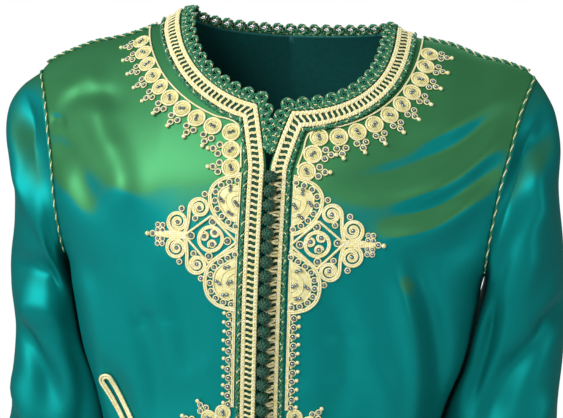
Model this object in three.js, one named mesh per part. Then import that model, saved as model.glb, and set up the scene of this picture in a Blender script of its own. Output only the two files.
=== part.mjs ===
// A long-sleeved satin tunic with gold braid and cord-work, worn and hollow. Millimetres, +Z up.
// The origin is where the shoulders carry it: on the centre line, level with the top of the neckline.
// The front faces -Y and the wearer's left sleeve is at +X.
import * as THREE from "three";

// ---- driving sizes
const clothWall = 1.6;
const trimWall = 1.2;
const trimLift = { edge: 0.9, motif: 1.25 };
const seamGap = 0.3;
const armholeGap = 0.36;
const shoulderHalf = 227;
const underarmHeight = -230;
const hemHeight = -950;
const shoulderRise = 20;
const frontEdge = 1.5;
const slitEnd = -136;
const backNeckDrop = 18;
const sleeveClearance = 3.2;
const sleeveTuck = 5;
const sleeveHead = { depth: 58, drop: 58, clear: 3.4, power: 0.85 };

// the shoulder seams: share of the way out from the neck, height on either side
const shoulderRows = [
  { z: 0, right: 0, left: -10 },
  { z: 0.1, right: -9, left: -15.5 },
  { z: 0.25, right: -19, left: -20 },
  { z: 0.4, right: -26.5, left: -23.5 },
  { z: 0.5, right: -30, left: -28 },
  { z: 0.62, right: -33.5, left: -33.5 },
  { z: 0.75, right: -40.5, left: -36.5 },
  { z: 0.87, right: -48, left: -41 },
  { z: 0.95, right: -55, left: -45 },
  { z: 1, right: -63, left: -50 },
];

// each side's neckline, where it turns into the slit, and how far in the discs lie at its two ends
const sides = [
  { name: "right", sign: -1, neckHalf: 94, neckDrop: 82.5, neckPower: 1.9, corner: 12.5, discs: [35.5, 20] },
  { name: "left", sign: 1, neckHalf: 99, neckDrop: 86.5, neckPower: 2.55, corner: 15.5, discs: [26.5, 18] },
].map((side) => ({
  ...side,
  neckTop: shoulderRows[0][side.name],
  shoulderDrop: -shoulderRows.at(-1)[side.name],
}));

// body sections: height, half width, depth in front of and behind the side seams
const bodyRows = [
  { z: 20, half: 250, front: 88, back: 70 },
  { z: -60, half: 241, front: 96, back: 92 },
  { z: -110, half: 231, front: 106, back: 106 },
  { z: -155, half: 218, front: 115, back: 112 },
  { z: -205, half: 203, front: 120, back: 108 },
  { z: -230, half: 190, front: 120, back: 104 },
  { z: -255, half: 186, front: 118, back: 100 },
  { z: -310, half: 175, front: 110, back: 92 },
  { z: -350, half: 161, front: 103, back: 88 },
  { z: -395, half: 152, front: 99, back: 86 },
  { z: -450, half: 156, front: 101, back: 94 },
  { z: -520, half: 169, front: 109, back: 108 },
  { z: -610, half: 190, front: 121, back: 124 },
  { z: -700, half: 204, front: 131, back: 134 },
  { z: -820, half: 220, front: 144, back: 146 },
  { z: -950, half: 238, front: 158, back: 160 },
];

// the armhole seam: share of the way down to the underarm, distance from the centre line
const armholeRows = [
  { z: 0, x: 227 },
  { z: 0.17, x: 215.5 },
  { z: 0.41, x: 205 },
  { z: 0.56, x: 198.5 },
  { z: 0.86, x: 190.8 },
  { z: 1, x: 190 },
];

// sleeve sections: distance and height of the outer point, height of the inner point, half depth, centre's y
const sleeveRows = [
  { right: 245, left: 237.5, outZ: -72, inZ: -236, depth: 60, y: 1 },
  { right: 256.5, left: 247, outZ: -90, inZ: -244, depth: 62, y: 3 },
  { right: 256.5, left: 252.5, outZ: -116, inZ: -256, depth: 63, y: 6 },
  { right: 247.5, left: 253, outZ: -150, inZ: -272, depth: 64, y: 10 },
  { right: 247, left: 260, outZ: -195, inZ: -294, depth: 65, y: 16 },
  { right: 252, left: 266, outZ: -245, inZ: -320, depth: 66, y: 22 },
  { right: 247, left: 267, outZ: -300, inZ: -352, depth: 67, y: 28 },
  { right: 251, left: 265, outZ: -355, inZ: -388, depth: 68, y: 32 },
  { right: 256, left: 270, outZ: -410, inZ: -430, depth: 70, y: 32 },
  { right: 269, left: 278, outZ: -465, inZ: -475, depth: 72, y: 28 },
  { right: 284, left: 288, outZ: -520, inZ: -524, depth: 74, y: 22 },
  { right: 299, left: 300, outZ: -580, inZ: -580, depth: 77, y: 14 },
  { right: 312, left: 313, outZ: -645, inZ: -645, depth: 80, y: 8 },
];

// folds of the front: from one point to another, how far they stand out (or dip), and their width
const frontFolds = [
  { x1: 212, z1: -80, x2: 96, z2: -150, lift: 5, width: 17 },
  { x1: 206, z1: -112, x2: 74, z2: -190, lift: -5, width: 17 },
  { x1: 200, z1: -146, x2: 62, z2: -226, lift: 6, width: 18 },
  { x1: 190, z1: -190, x2: 84, z2: -268, lift: -5, width: 18 },
  { x1: 118, z1: -262, x2: 132, z2: -424, lift: 8, width: 17 },
  { x1: 148, z1: -262, x2: 158, z2: -424, lift: -8, width: 15 },
  { x1: 60, z1: -290, x2: 78, z2: -410, lift: -4, width: 18 },
  { x1: -206, z1: -104, x2: -118, z2: -170, lift: -5, width: 18 },
  { x1: -200, z1: -150, x2: -84, z2: -246, lift: 5, width: 20 },
  { x1: -188, z1: -214, x2: -104, z2: -312, lift: -5, width: 19 },
  { x1: -60, z1: -262, x2: -118, z2: -372, lift: 4, width: 20 },
  { x1: -84, z1: -290, x2: -72, z2: -420, lift: -5, width: 18 },
];

const backFolds = [
  { x1: 205, z1: -120, x2: 60, z2: -210, lift: -5, width: 18 },
  { x1: 198, z1: -165, x2: 70, z2: -265, lift: 5, width: 18 },
  { x1: 100, z1: -300, x2: 92, z2: -440, lift: -6, width: 18 },
  { x1: 34, z1: -280, x2: 40, z2: -440, lift: 5, width: 18 },
  { x1: -208, z1: -125, x2: -66, z2: -200, lift: -5, width: 18 },
  { x1: -196, z1: -170, x2: -74, z2: -250, lift: 5, width: 18 },
  { x1: -30, z1: -290, x2: -26, z2: -430, lift: -4, width: 18 },
  { x1: -104, z1: -286, x2: -98, z2: -430, lift: 6, width: 18 },
];

// flutes of the skirt: how many go round, their share of the depth, and where they start
const flutes = [
  { count: 7, share: 0.5, start: 0.4 },
  { count: 11, share: 0.3, start: 1.9 },
  { count: 4, share: 0.2, start: 2.6 },
];
const fluteDepth = 16;
const fluteTop = -410;

// sleeve folds: degrees round from the outer edge towards the front, and height, at both ends
const sleeveFolds = [
  { x1: 12, z1: -96, x2: 132, z2: -292, lift: -9, width: 12 },
  { x1: 4, z1: -150, x2: 112, z2: -330, lift: 5, width: 14 },
  { x1: 6, z1: -236, x2: 118, z2: -384, lift: -7, width: 12 },
  { x1: 10, z1: -330, x2: 120, z2: -450, lift: -6, width: 13 },
  { x1: 20, z1: -430, x2: 130, z2: -540, lift: -5, width: 14 },
  { x1: 340, z1: -120, x2: 236, z2: -300, lift: -7, width: 14 },
  { x1: 345, z1: -260, x2: 240, z2: -420, lift: -6, width: 14 },
  { x1: 330, z1: -420, x2: 250, z2: -560, lift: 5, width: 16 },
];

// reach of each appliqué from the front edge, down the front
const medallionRows = [
  { z: -141, reach: 27 },
  { z: -149, reach: 40 },
  { z: -158, reach: 47 },
  { z: -161, reach: 57 },
  { z: -168, reach: 66 },
  { z: -174, reach: 76 },
  { z: -183, reach: 85.5 },
  { z: -190, reach: 92 },
  { z: -196, reach: 101.5 },
  { z: -203, reach: 93 },
  { z: -208, reach: 86 },
  { z: -217, reach: 76 },
  { z: -223, reach: 67 },
  { z: -231, reach: 60 },
  { z: -237, reach: 50 },
  { z: -247, reach: 42 },
  { z: -254, reach: 27 },
];
const waistRows = [
  { z: -342, reach: 38 },
  { z: -349, reach: 54 },
  { z: -358, reach: 66 },
  { z: -370, reach: 74 },
  { z: -384, reach: 77 },
  { z: -398, reach: 74 },
  { z: -410, reach: 66 },
  { z: -419, reach: 54 },
  { z: -426, reach: 38 },
];

// trims: distances in from the panel's front and neck edge
const braid = { from: 0.3, to: 14 };
const twistedCord = { at: 17, radius: 1.5 };
const applique = { front: 21.5, disc: 15, pendant: 18, step: 8, cornerTurn: 2 };
const picot = { reach: 32, step: 40, runs: { "": [-258, -340], lower_: [-428, -947] } };
const edgingGrip = 6;
const shoulderBlend = 35;
const lace = { reach: 9, between: 5, step: 7.25, end: -128 };
const armholeCord = { inset: 2.6, radius: 1.3, steps: 9 };
const shoulderCord = { from: 25, end: 220, fall: 0.5, radius: 1.6, step: 12 };
const button = { radius: 5.6, pitch: 11.7, count: 28, first: -143, x: 3.6, clear: 0.4 };
const beltLoop = { x: -141, z: -338, length: 84, lean: 33, radius: 8, cord: 2.3 };

// ---- small helpers
const radians = (degrees) => (degrees * Math.PI) / 180;
const mix = (a, b, t) => a + (b - a) * t;
const clamp = (v, lo, hi) => Math.min(hi, Math.max(lo, v));
const smooth = (v, lo, hi) => {
  const t = clamp((v - lo) / (hi - lo), 0, 1);
  return t * t * (3 - 2 * t);
};
const signedPower = (v, p) => Math.sign(v) * Math.pow(Math.abs(v), p);

// A smooth curve through one column of a table, read at a height.
function column(rows, key) {
  const slopes = rows.map((row, i) => {
    const a = rows[Math.max(i - 1, 0)];
    const b = rows[Math.min(i + 1, rows.length - 1)];
    return (b[key] - a[key]) / (b.z - a.z);
  });
  const order = Math.sign(rows[1].z - rows[0].z);
  return (z) => {
    let i = rows.findIndex((row) => (row.z - z) * order > 0) - 1;
    if (i < 0) i = (z - rows[0].z) * order < 0 ? 0 : rows.length - 2;
    const a = rows[i];
    const b = rows[i + 1];
    const run = b.z - a.z;
    const t = clamp((z - a.z) / run, 0, 1);
    const hermite = new THREE.Vector4(
      2 * t ** 3 - 3 * t ** 2 + 1,
      (t ** 3 - 2 * t ** 2 + t) * run,
      3 * t ** 2 - 2 * t ** 3,
      (t ** 3 - t ** 2) * run,
    );
    return hermite.dot(new THREE.Vector4(a[key], slopes[i], b[key], slopes[i + 1]));
  };
}

const halfWidth = column(bodyRows, "half");
const depthOf = { front: column(bodyRows, "front"), back: column(bodyRows, "back") };
const armholeX = column(armholeRows, "x");
const bodyPower = 2.5;
const shoulderRoundness = 1.4;
const shoulderEase = { front: 160, back: 140 };
const sideOf = (x) => (x < 0 ? sides[0] : sides[1]);

const shoulderAt = { right: column(shoulderRows, "right"), left: column(shoulderRows, "left") };

// Height of the shoulder line over a point, carried on over the neck opening.
function shoulderLine(x) {
  const side = sideOf(x);
  const out = (Math.abs(x) - side.neckHalf) / (shoulderHalf - side.neckHalf);
  if (out < 0) return mix(shoulderRise, side.neckTop, Math.abs(x) / side.neckHalf);
  return shoulderAt[side.name](out);
}

// How far the soft folds of a table lift the cloth at a flat point.
function foldLift(rows, x, z) {
  let lift = 0;
  for (const row of rows) {
    const dx = row.x2 - row.x1;
    const dz = row.z2 - row.z1;
    const length = Math.hypot(dx, dz);
    const along = ((x - row.x1) * dx + (z - row.z1) * dz) / length;
    const bow = 0.1 * length * Math.sin(Math.PI * clamp(along / length, 0, 1));
    const across = ((x - row.x1) * dz - (z - row.z1) * dx) / length + bow;
    const start = smooth(along, -0.05 * length, 0.3 * length);
    const ends = start * (1 - smooth(along, 0.6 * length, 1.05 * length));
    lift += row.lift * ends * Math.exp(-((across / row.width) ** 2));
  }
  return lift;
}

// The skirt's flutes move a point out from the middle of the body.
function flute(point) {
  const angle = Math.atan2(point.y, point.x);
  const wave = flutes.reduce((sum, f) => sum + f.share * Math.cos(f.count * angle + f.start), 0);
  const push = fluteDepth * smooth(-point.z, -fluteTop, -hemHeight) * wave;
  const out = Math.hypot(point.x, point.y);
  point.x *= 1 + push / out;
  point.y *= 1 + push / out;
  return point;
}

// How deep the cloth lies in front of (or behind) the shoulder and side seams.
function depthAt(face, x, z) {
  const fall = shoulderLine(x) - z;
  const ease = shoulderEase[face];
  const round = Math.pow(1 - (1 - clamp(fall / ease, 0, 1)) ** 2, 1 / shoulderRoundness);
  const across = clamp(Math.abs(x) / halfWidth(z), 0, 1);
  const side = Math.pow(1 - across ** bodyPower, 1 / bodyPower);
  const full = depthOf[face](z) * round * side;
  const folds = foldLift(face === "front" ? frontFolds : backFolds, x, z);
  return full + folds * smooth(full, 6, 40) * smooth(Math.abs(x), 12, 34);
}

function bodyPoint(face, x, z) {
  const y = seamGap / 2 + Math.max(depthAt(face, x, z), 0);
  return flute(new THREE.Vector3(x, face === "front" ? -y : y, z));
}

// ---- walls: an open surface thickened inwards and closed round its edge

function surfaceNormals(points, faces) {
  const normals = points.map(() => new THREE.Vector3());
  for (const [a, b, c] of faces) {
    const ab = points[b].clone().sub(points[a]);
    const ac = points[c].clone().sub(points[a]);
    const n = ab.cross(ac);
    [a, b, c].forEach((i) => normals[i].add(n));
  }
  return normals.map((n) => n.normalize());
}

// On the shoulder and side seams the wall's edge stays square to the seam.
function wallNormals(points, faces) {
  return surfaceNormals(points, faces).map((n, i) => (
    Math.abs(points[i].y) < seamGap ? n.setY(0).normalize() : n
  ));
}

function openEdges(faces) {
  const used = new Set(faces.flatMap(([a, b, c]) => [a + " " + b, b + " " + c, c + " " + a]));
  const open = [...used].filter((edge) => !used.has(edge.split(" ").reverse().join(" ")));
  return open.map((edge) => edge.split(" ").map(Number));
}

function closedWall(outer, inner, faces) {
  const n = outer.length;
  const all = [...faces, ...faces.map(([a, b, c]) => [a + n, c + n, b + n])];
  for (const [a, b] of openEdges(faces)) all.push([b, a, a + n], [b, a + n, b + n]);
  const used = [...new Set(all.flat())];
  const place = new Map(used.map((v, i) => [v, i]));
  const points = [...outer, ...inner];
  const geometry = new THREE.BufferGeometry().setFromPoints(used.map((v) => points[v]));
  geometry.setIndex(all.flat().map((v) => place.get(v)));
  geometry.computeVertexNormals();
  return geometry;
}

function thicken(surface, thickness) {
  const normals = wallNormals(surface.points, surface.faces);
  const inner = surface.points.map((p, i) => p.clone().addScaledVector(normals[i], -thickness));
  return { inner, geometry: closedWall(surface.points, inner, surface.faces) };
}

// Two triangles for each cell of a grid of rows; the corner at index 0 of row 0 is the first point.
function gridFaces(rowCount, columnCount, turned) {
  const faces = [];
  for (let j = 0; j < rowCount - 1; j++) {
    for (let i = 0; i < columnCount - 1; i++) {
      const a = j * columnCount + i;
      const cell = [
        [a, a + columnCount, a + 1],
        [a + 1, a + columnCount, a + columnCount + 1],
      ];
      cell.forEach((f) => faces.push(turned ? [f[0], f[2], f[1]] : f));
    }
  }
  return faces;
}

// ---- panels, each a fan of rows from its inner edge to the armhole and side seam

const columnShares = [0, 0.155, 0.25, 0.35, 0.45, 0.55, 0.65, 0.74, 0.82, 0.89, 0.945, 0.984, 1];
const armholeShares = [0, 0.02, 0.08, 0.17, 0.3, 0.45, 0.61, 0.75, 0.87, 0.955, 1];
const skirtHeights = [-691, -780, -865, hemHeight];
const sideHeights = [-250, -272, -296, -322, -348, -376, -405, -440, -487, -543, -612, ...skirtHeights];
const frontHeights = [-175, -210, -245, -280, -315, -350, -390, -430, -480, -540, -611, ...skirtHeights];
const backHeights = [-190, -225, -258, -292, -325, -358, -395, -435, -484, -542, -612, ...skirtHeights];
const backNeckHeights = [-60, -105, -150];
const backNeckPower = 2.3;
const neckSteps = 7;
// how much of the shoulder seam's curve each row of a panel keeps, from the seam down
const bowShares = [1, 0.95, 0.8, 0.6, 0.4, 0.2, 0.08];

function outerEdge(side) {
  const armhole = armholeShares.map((share) => ({
    x: side.sign * armholeX(share),
    z: mix(-side.shoulderDrop, underarmHeight, share),
  }));
  return [...armhole, ...sideHeights.map((z) => ({ x: side.sign * halfWidth(z), z }))];
}

// A quarter of a squared oval: the neckline from the shoulder to its lowest point or its corner.
function neckline(side, drop, power, endX) {
  const last = Math.acos(Math.pow(endX / side.neckHalf, power / 2));
  return Array.from({ length: neckSteps + 1 }, (_, j) => {
    const angle = last * Math.pow(j / neckSteps, 1.3);
    return {
      x: side.sign * side.neckHalf * Math.pow(Math.max(Math.cos(angle), 0), 2 / power),
      z: mix(side.neckTop, -drop, Math.pow(Math.sin(angle), 2 / power)),
    };
  });
}

function slit(side, corner) {
  return [0.33, 0.66, 1].map((share) => ({
    x: side.sign * mix(frontEdge, side.corner, Math.pow(1 - share, 1.25)),
    z: mix(corner.z, slitEnd, share),
  }));
}

function frontInner(side) {
  const neck = neckline(side, side.neckDrop, side.neckPower, side.corner);
  const down = frontHeights.map((z) => ({ x: side.sign * frontEdge, z }));
  return [...neck, ...slit(side, neck[neckSteps]), ...down];
}

function backInner(side) {
  const neck = neckline(side, backNeckDrop, backNeckPower, 0);
  neck[neckSteps] = { x: 0, z: -backNeckDrop };
  return [...neck, ...[...backNeckHeights, ...backHeights].map((z) => ({ x: 0, z }))];
}

function panelRows(face, side, inner, outer) {
  return inner.map((from, j) => columnShares.map((share) => {
    const bow = shoulderAt[side.name](share) - mix(side.neckTop, -side.shoulderDrop, share);
    const z = mix(from.z, outer[j].z, share) + bow * (bowShares[j] ?? 0);
    const flat = { x: mix(from.x, outer[j].x, share), z };
    return { flat, point: bodyPoint(face, flat.x, flat.z) };
  }));
}

function frontPanel(side) {
  const rows = panelRows("front", side, frontInner(side), outerEdge(side));
  const cells = rows.flat();
  const faces = gridFaces(rows.length, columnShares.length, side.sign < 0);
  return { rows, cells, points: cells.map((c) => c.point), faces, side };
}

// The back's halves share the centre line below the neckline.
function backPanel() {
  const halves = sides.map((side) => panelRows("back", side, backInner(side), outerEdge(side)));
  const cells = [...halves[0].flat(), ...halves[1].flat()];
  const width = columnShares.length;
  const count = halves[0].length * width;
  const shared = (v) => {
    const local = v - count;
    const row = Math.floor(local / width);
    return local % width === 0 && row >= neckSteps ? row * width : v;
  };
  const right = gridFaces(halves[0].length, width, false);
  const left = gridFaces(halves[1].length, width, true).map((f) => f.map((v) => shared(v + count)));
  return { halves, cells, points: cells.map((c) => c.point), faces: [...right, ...left] };
}

// ---- trims are placed on a panel's own facets

// The way down a panel, drawn out near the shoulder seam, where the cloth turns over.
const wayDown = (flat) => 12 * Math.sqrt(Math.max(shoulderLine(flat.x) - flat.z, 0));

function makeSeat(panel) {
  const spots = panel.cells.map((c) => ({ u: c.flat.x, v: wayDown(c.flat) }));
  const normals = surfaceNormals(panel.points, panel.faces);
  return (x, z, lift) => {
    const u = x;
    const v = wayDown({ x, z });
    let best = null;
    for (const [a, b, c] of panel.faces) {
      const p = spots[a];
      const q = spots[b];
      const r = spots[c];
      const area = (q.u - p.u) * (r.v - p.v) - (r.u - p.u) * (q.v - p.v);
      if (Math.abs(area) < 1e-6) continue;
      const wq = ((u - p.u) * (r.v - p.v) - (r.u - p.u) * (v - p.v)) / area;
      const wr = ((q.u - p.u) * (v - p.v) - (u - p.u) * (q.v - p.v)) / area;
      const weights = [1 - wq - wr, wq, wr];
      const least = Math.min(...weights);
      if (!best || least > best.least) best = { least, face: [a, b, c], weights };
    }
    const point = new THREE.Vector3();
    const normal = new THREE.Vector3();
    best.face.forEach((v, i) => {
      point.addScaledVector(panel.points[v], best.weights[i]);
      normal.addScaledVector(normals[v], best.weights[i]);
    });
    return point.addScaledVector(normal.normalize(), lift);
  };
}

// A flat line moved sideways by a distance, with a mitre at its corner.
function offsetLine(line, distance) {
  const turn = (a, b) => {
    const length = Math.hypot(b.x - a.x, b.z - a.z);
    return { x: (b.z - a.z) / length, z: (a.x - b.x) / length };
  };
  return line.map((p, i) => {
    const before = turn(line[Math.max(i - 1, 0)], line[Math.max(i, 1)]);
    const after = turn(line[Math.min(i, line.length - 2)], line[Math.min(i + 1, line.length - 1)]);
    const scale = distance / (1 + before.x * after.x + before.z * after.z);
    return { x: p.x + (before.x + after.x) * scale, z: p.z + (before.z + after.z) * scale };
  });
}

// Near the shoulder a trim's ends follow the slope of the shoulder seam.
function inwardsOf(line, distance) {
  return offsetLine(line, distance).map((p, i) => {
    const near = 1 - smooth(-line[i].z, 0, shoulderBlend);
    return { x: p.x, z: p.z + near * (shoulderLine(p.x) - shoulderLine(line[i].x)) };
  });
}

// Points at even steps along a line, its corners kept; with a seat, steps are measured on the cloth.
function resample(line, step, seat) {
  const out = [line[0]];
  for (let i = 1; i < line.length; i++) {
    const a = line[i - 1];
    const b = line[i];
    const flat = Math.hypot(b.x - a.x, b.z - a.z);
    const length = seat ? seat(a.x, a.z, 0).distanceTo(seat(b.x, b.z, 0)) : flat;
    const parts = Math.max(1, Math.round(length / step));
    for (let k = 1; k <= parts; k++) out.push({ x: mix(a.x, b.x, k / parts), z: mix(a.z, b.z, k / parts) });
  }
  return out;
}

// Nothing crosses the shoulder and side seams: what lies on the front stays in front of them.
function keepToFace(geometry, face) {
  const place = geometry.getAttribute("position");
  const limit = seamGap / 2;
  for (let i = 0; i < place.count; i++) {
    const y = place.getY(i);
    place.setY(i, face === "front" ? Math.min(y, -limit) : Math.max(y, limit));
  }
  return geometry;
}

// A thin strip between two flat lines of as many points, lying on its seat.
function strip(seat, inner, outer, across, turned, lift = trimLift.motif) {
  const points = inner.flatMap((from, j) => Array.from({ length: across + 1 }, (_, i) => {
    const t = i / across;
    return seat(mix(from.x, outer[j].x, t), mix(from.z, outer[j].z, t), lift + trimWall);
  }));
  return thicken({ points, faces: gridFaces(inner.length, across + 1, turned) }, trimWall).geometry;
}

// A round cord through centres, its section set square to the way it runs, with closed ends.
function cordGeometry(centres, outs, radius, corners) {
  const points = centres.flatMap((centre, j) => {
    const next = centres[Math.min(j + 1, centres.length - 1)];
    const run = next.clone().sub(centres[Math.max(j - 1, 0)]).normalize();
    const sideways = new THREE.Vector3().crossVectors(run, outs[j]).normalize();
    const out = new THREE.Vector3().crossVectors(sideways, run);
    return Array.from({ length: corners }, (_, i) => {
      const angle = (2 * Math.PI * i) / corners;
      const point = centre.clone().addScaledVector(out, radius * Math.cos(angle));
      return point.addScaledVector(sideways, radius * Math.sin(angle));
    });
  });
  const faces = [];
  for (let j = 0; j < centres.length - 1; j++) {
    for (let i = 0; i < corners; i++) {
      const a = j * corners + i;
      const b = j * corners + ((i + 1) % corners);
      faces.push([a, b, a + corners], [b, b + corners, a + corners]);
    }
  }
  const last = points.length - corners;
  for (let i = 1; i < corners - 1; i++) faces.push([0, i + 1, i], [last, last + i, last + i + 1]);
  const geometry = new THREE.BufferGeometry().setFromPoints(points);
  geometry.setIndex(faces.flat());
  geometry.computeVertexNormals();
  return geometry;
}

// A cord lying on its seat along a flat line.
function laidCord(seat, line, radius, corners) {
  const centres = line.map((p) => seat(p.x, p.z, trimLift.edge + radius));
  const outs = line.map((p, i) => centres[i].clone().sub(seat(p.x, p.z, 0)).normalize());
  return cordGeometry(centres, outs, radius, corners);
}

// ---- finishes
function finish(color, roughness, metalness) {
  return new THREE.MeshStandardMaterial({ color, roughness, metalness });
}
const satin = finish("#1b8f86", 0.38, 0);
const goldThread = finish("#f0e19a", 0.5, 0.35);
const greenGoldCord = finish("#2b6b47", 0.6, 0.1);
const greenLace = finish("#1b6b4b", 0.7, 0);
const greenSilk = finish("#0d4f3c", 0.55, 0);

const tunic = new THREE.Group();
function add(name, geometry, material) {
  const mesh = new THREE.Mesh(geometry, material);
  mesh.name = name;
  tunic.add(mesh);
  return mesh;
}

// ---- cloth
const fronts = sides.map(frontPanel);
const back = backPanel();
fronts.forEach((front) => {
  Object.assign(front, thicken(front, clothWall));
  add("front_" + front.side.name, front.geometry, satin);
});
Object.assign(back, thicken(back, clothWall));
add("back", back.geometry, satin);

// The armhole's edge, down the front and up the back, with the way out of the panel at each corner.
function armholeRing(sideIndex) {
  const width = columnShares.length;
  const steps = armholeShares.length;
  const front = fronts[sideIndex];
  const backStart = sideIndex * back.halves[0].length * width;
  const edge = [];
  for (let j = 0; j < steps; j++) edge.push({ panel: front, v: j * width + width - 1 });
  for (let j = steps - 1; j >= 0; j--) edge.push({ panel: back, v: backStart + j * width + width - 1 });
  const corners = edge.map(({ panel, v }) => ({
    outer: panel.points[v],
    inner: panel.inner[v],
    away: panel.points[v].clone().sub(panel.points[v - 1]).normalize(),
  }));
  const halfway = (a, b) => ({
    outer: a.outer.clone().add(b.outer).multiplyScalar(0.5),
    inner: a.inner.clone().add(b.inner).multiplyScalar(0.5),
    away: a.away.clone().add(b.away).normalize(),
  });
  const last = 2 * steps - 1;
  const ring = [
    halfway(corners[0], corners[last]),
    ...corners.slice(1, steps - 1),
    halfway(corners[steps - 1], corners[steps]),
    ...corners.slice(steps + 1, last),
  ];
  ring.forEach((corner, i) => {
    const next = ring[(i + 1) % ring.length].outer;
    const before = ring[(i + ring.length - 1) % ring.length].outer;
    const along = next.clone().sub(before).normalize();
    corner.away.addScaledVector(along, -corner.away.dot(along)).normalize();
  });
  return ring;
}

function sleeve(side, sideIndex) {
  const ring = armholeRing(sideIndex);
  const count = ring.length;
  const top = ring[0].outer;
  const bottom = ring[count / 2].outer;
  const middle = top.clone().add(bottom).multiplyScalar(0.5);
  const axis = top.clone().sub(middle);
  const reach = axis.lengthSq();
  const marks = ring.map(({ outer: p }, i) => {
    const along = p.clone().sub(middle).dot(axis) / reach;
    const across = -p.y / sleeveHead.depth;
    const rest = p.clone().sub(middle).addScaledVector(axis, -along);
    rest.y = 0;
    return { along, across, rest, angle: (360 * i) / count };
  });
  const started = ring.map((corner) => ({
    outer: corner.outer.clone().addScaledVector(corner.away, armholeGap),
    inner: corner.inner.clone().addScaledVector(corner.away, armholeGap),
  }));
  const rings = [started.map((corner) => corner.outer)];
  sleeveRows.forEach((row, k) => {
    const share = smooth(k + 1, 0, 5);
    const drop = (sleeveHead.drop - side.shoulderDrop) * (1 - smooth(-row.outZ, 60, 200));
    const tuck = mix(sleeveHead.clear, -sleeveTuck, smooth(-row.inZ, 236, 300));
    const inX = halfWidth(Math.min(row.inZ, underarmHeight)) + tuck;
    const outer = new THREE.Vector3(side.sign * row[side.name], row.y, row.outZ + drop);
    const inner = new THREE.Vector3(side.sign * inX, row.y, row.inZ);
    const centre = outer.clone().add(inner).multiplyScalar(0.5);
    const half = outer.clone().sub(centre);
    rings.push(marks.map((mark, i) => {
      const angle = (2 * Math.PI * i) / count;
      const along = mix(mark.along, signedPower(Math.cos(angle), sleeveHead.power), share);
      const across = mix(mark.across, signedPower(Math.sin(angle), sleeveHead.power), share);
      const point = centre.clone().addScaledVector(half, along);
      point.y -= across * row.depth;
      point.addScaledVector(mark.rest, 1 - share);
      const out = point.clone().sub(centre).setZ(0).normalize();
      const guard = 1 - smooth(-Math.cos(angle), 0.35, 0.85);
      point.addScaledVector(out, foldLift(sleeveFolds, mark.angle, point.z) * guard);
      return keepClear(side, point);
    }));
  });
  return closeSleeve(rings, started.map((corner) => corner.inner), side.sign > 0);
}

// A sleeve lies against the body's side: its points stay clear of it, flutes and all.
function keepClear(side, point) {
  if (point.z > underarmHeight) {
    const share = (point.z + side.shoulderDrop) / (underarmHeight + side.shoulderDrop);
    point.x = side.sign * Math.max(Math.abs(point.x), armholeX(clamp(share, 0, 1)) + 4 * seamGap);
    return point;
  }
  const depth = depthOf[point.y < 0 ? "front" : "back"](point.z);
  const side01 = 1 - clamp(Math.abs(point.y) / depth, 0, 1) ** bodyPower;
  const flutes = fluteDepth * smooth(-point.z, -fluteTop, -hemHeight);
  const least = halfWidth(point.z) * Math.pow(side01, 1 / bodyPower) + flutes + sleeveClearance;
  point.x = side.sign * Math.max(Math.abs(point.x), least);
  return point;
}

function closeSleeve(rings, firstInner, turned) {
  const points = rings.flat();
  const count = firstInner.length;
  const faces = [];
  for (let k = 0; k < rings.length - 1; k++) {
    for (let i = 0; i < count; i++) {
      const a = k * count + i;
      const b = k * count + ((i + 1) % count);
      const cell = [[a, a + count, b], [b, a + count, b + count]];
      cell.forEach((f) => faces.push(turned ? [f[0], f[2], f[1]] : f));
    }
  }
  const normals = surfaceNormals(points, faces);
  const inner = points.map((p, v) => firstInner[v] ?? p.clone().addScaledVector(normals[v], -clothWall));
  return { points, faces, geometry: closedWall(points, inner, faces) };
}

sides.forEach((side, i) => {
  add("sleeve_" + side.name, sleeve(side, i).geometry, satin);
});

// ---- braid, twisted cord and lace round the neck and down the front
fronts.forEach((front) => {
  front.seat = makeSeat(front);
  front.face = "front";
  front.edge = resample(frontInner(front.side), 40);
  front.edge.splice(1, 0, ...resample(front.edge.slice(0, 2), 6, front.seat).slice(1, -1));
  front.inwards = (line, distance) => inwardsOf(line, -front.side.sign * distance);
});
back.face = "back";
back.seat = makeSeat(back);
const backNeck = sides.map((side) => backInner(side).slice(0, neckSteps + 1));
back.edge = [...backNeck[0].slice(0, -1), ...backNeck[1].reverse()];
back.inwards = inwardsOf;

// An edging that carries the cloth on past its edge, in scallops.
function edging(panel, line, limit, turned) {
  const next = panel.inwards(line, edgingGrip);
  const points = line.flatMap((p, i) => {
    const root = panel.seat(p.x, p.z, 0);
    const way = root.clone().sub(panel.seat(next[i].x, next[i].z, 0)).normalize();
    const reach = Math.min(i % 2 ? lace.reach : lace.between, limit(p));
    return [root.clone().addScaledVector(way, seamGap), root.clone().addScaledVector(way, seamGap + reach)];
  });
  const scallops = thicken({ points, faces: gridFaces(line.length, 2, turned) }, trimWall).geometry;
  return keepToFace(scallops, panel.face);
}

function addEdgeTrims(panel, name, turned) {
  const { seat, edge, inwards, face } = panel;
  const bands = [inwards(edge, braid.from), inwards(edge, braid.to)];
  const flat = strip(seat, ...bands, 2, turned, trimLift.edge);
  const round = laidCord(seat, inwards(edge, twistedCord.at), twistedCord.radius, 6);
  add("braid_" + name, keepToFace(flat, face), goldThread);
  add("cord_" + name, keepToFace(round, face), greenGoldCord);
}

fronts.forEach((front) => {
  const { side } = front;
  addEdgeTrims(front, side.name, side.sign < 0);
  const line = resample(frontInner(side).slice(0, neckSteps + 4), lace.step).filter((p) => p.z > lace.end);
  const corner = frontInner(side)[neckSteps];
  const limit = (p) => (p.z < corner.z + 1 ? Math.max(Math.abs(p.x) - 1.2, 0.8) : Infinity);
  add("lace_" + side.name, edging(front, line, limit, side.sign > 0), greenLace);
});
addEdgeTrims(back, "back", true);
add("lace_back", edging(back, resample(back.edge, lace.step), () => Infinity, false), greenLace);

// ---- cord-work appliqués

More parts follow.
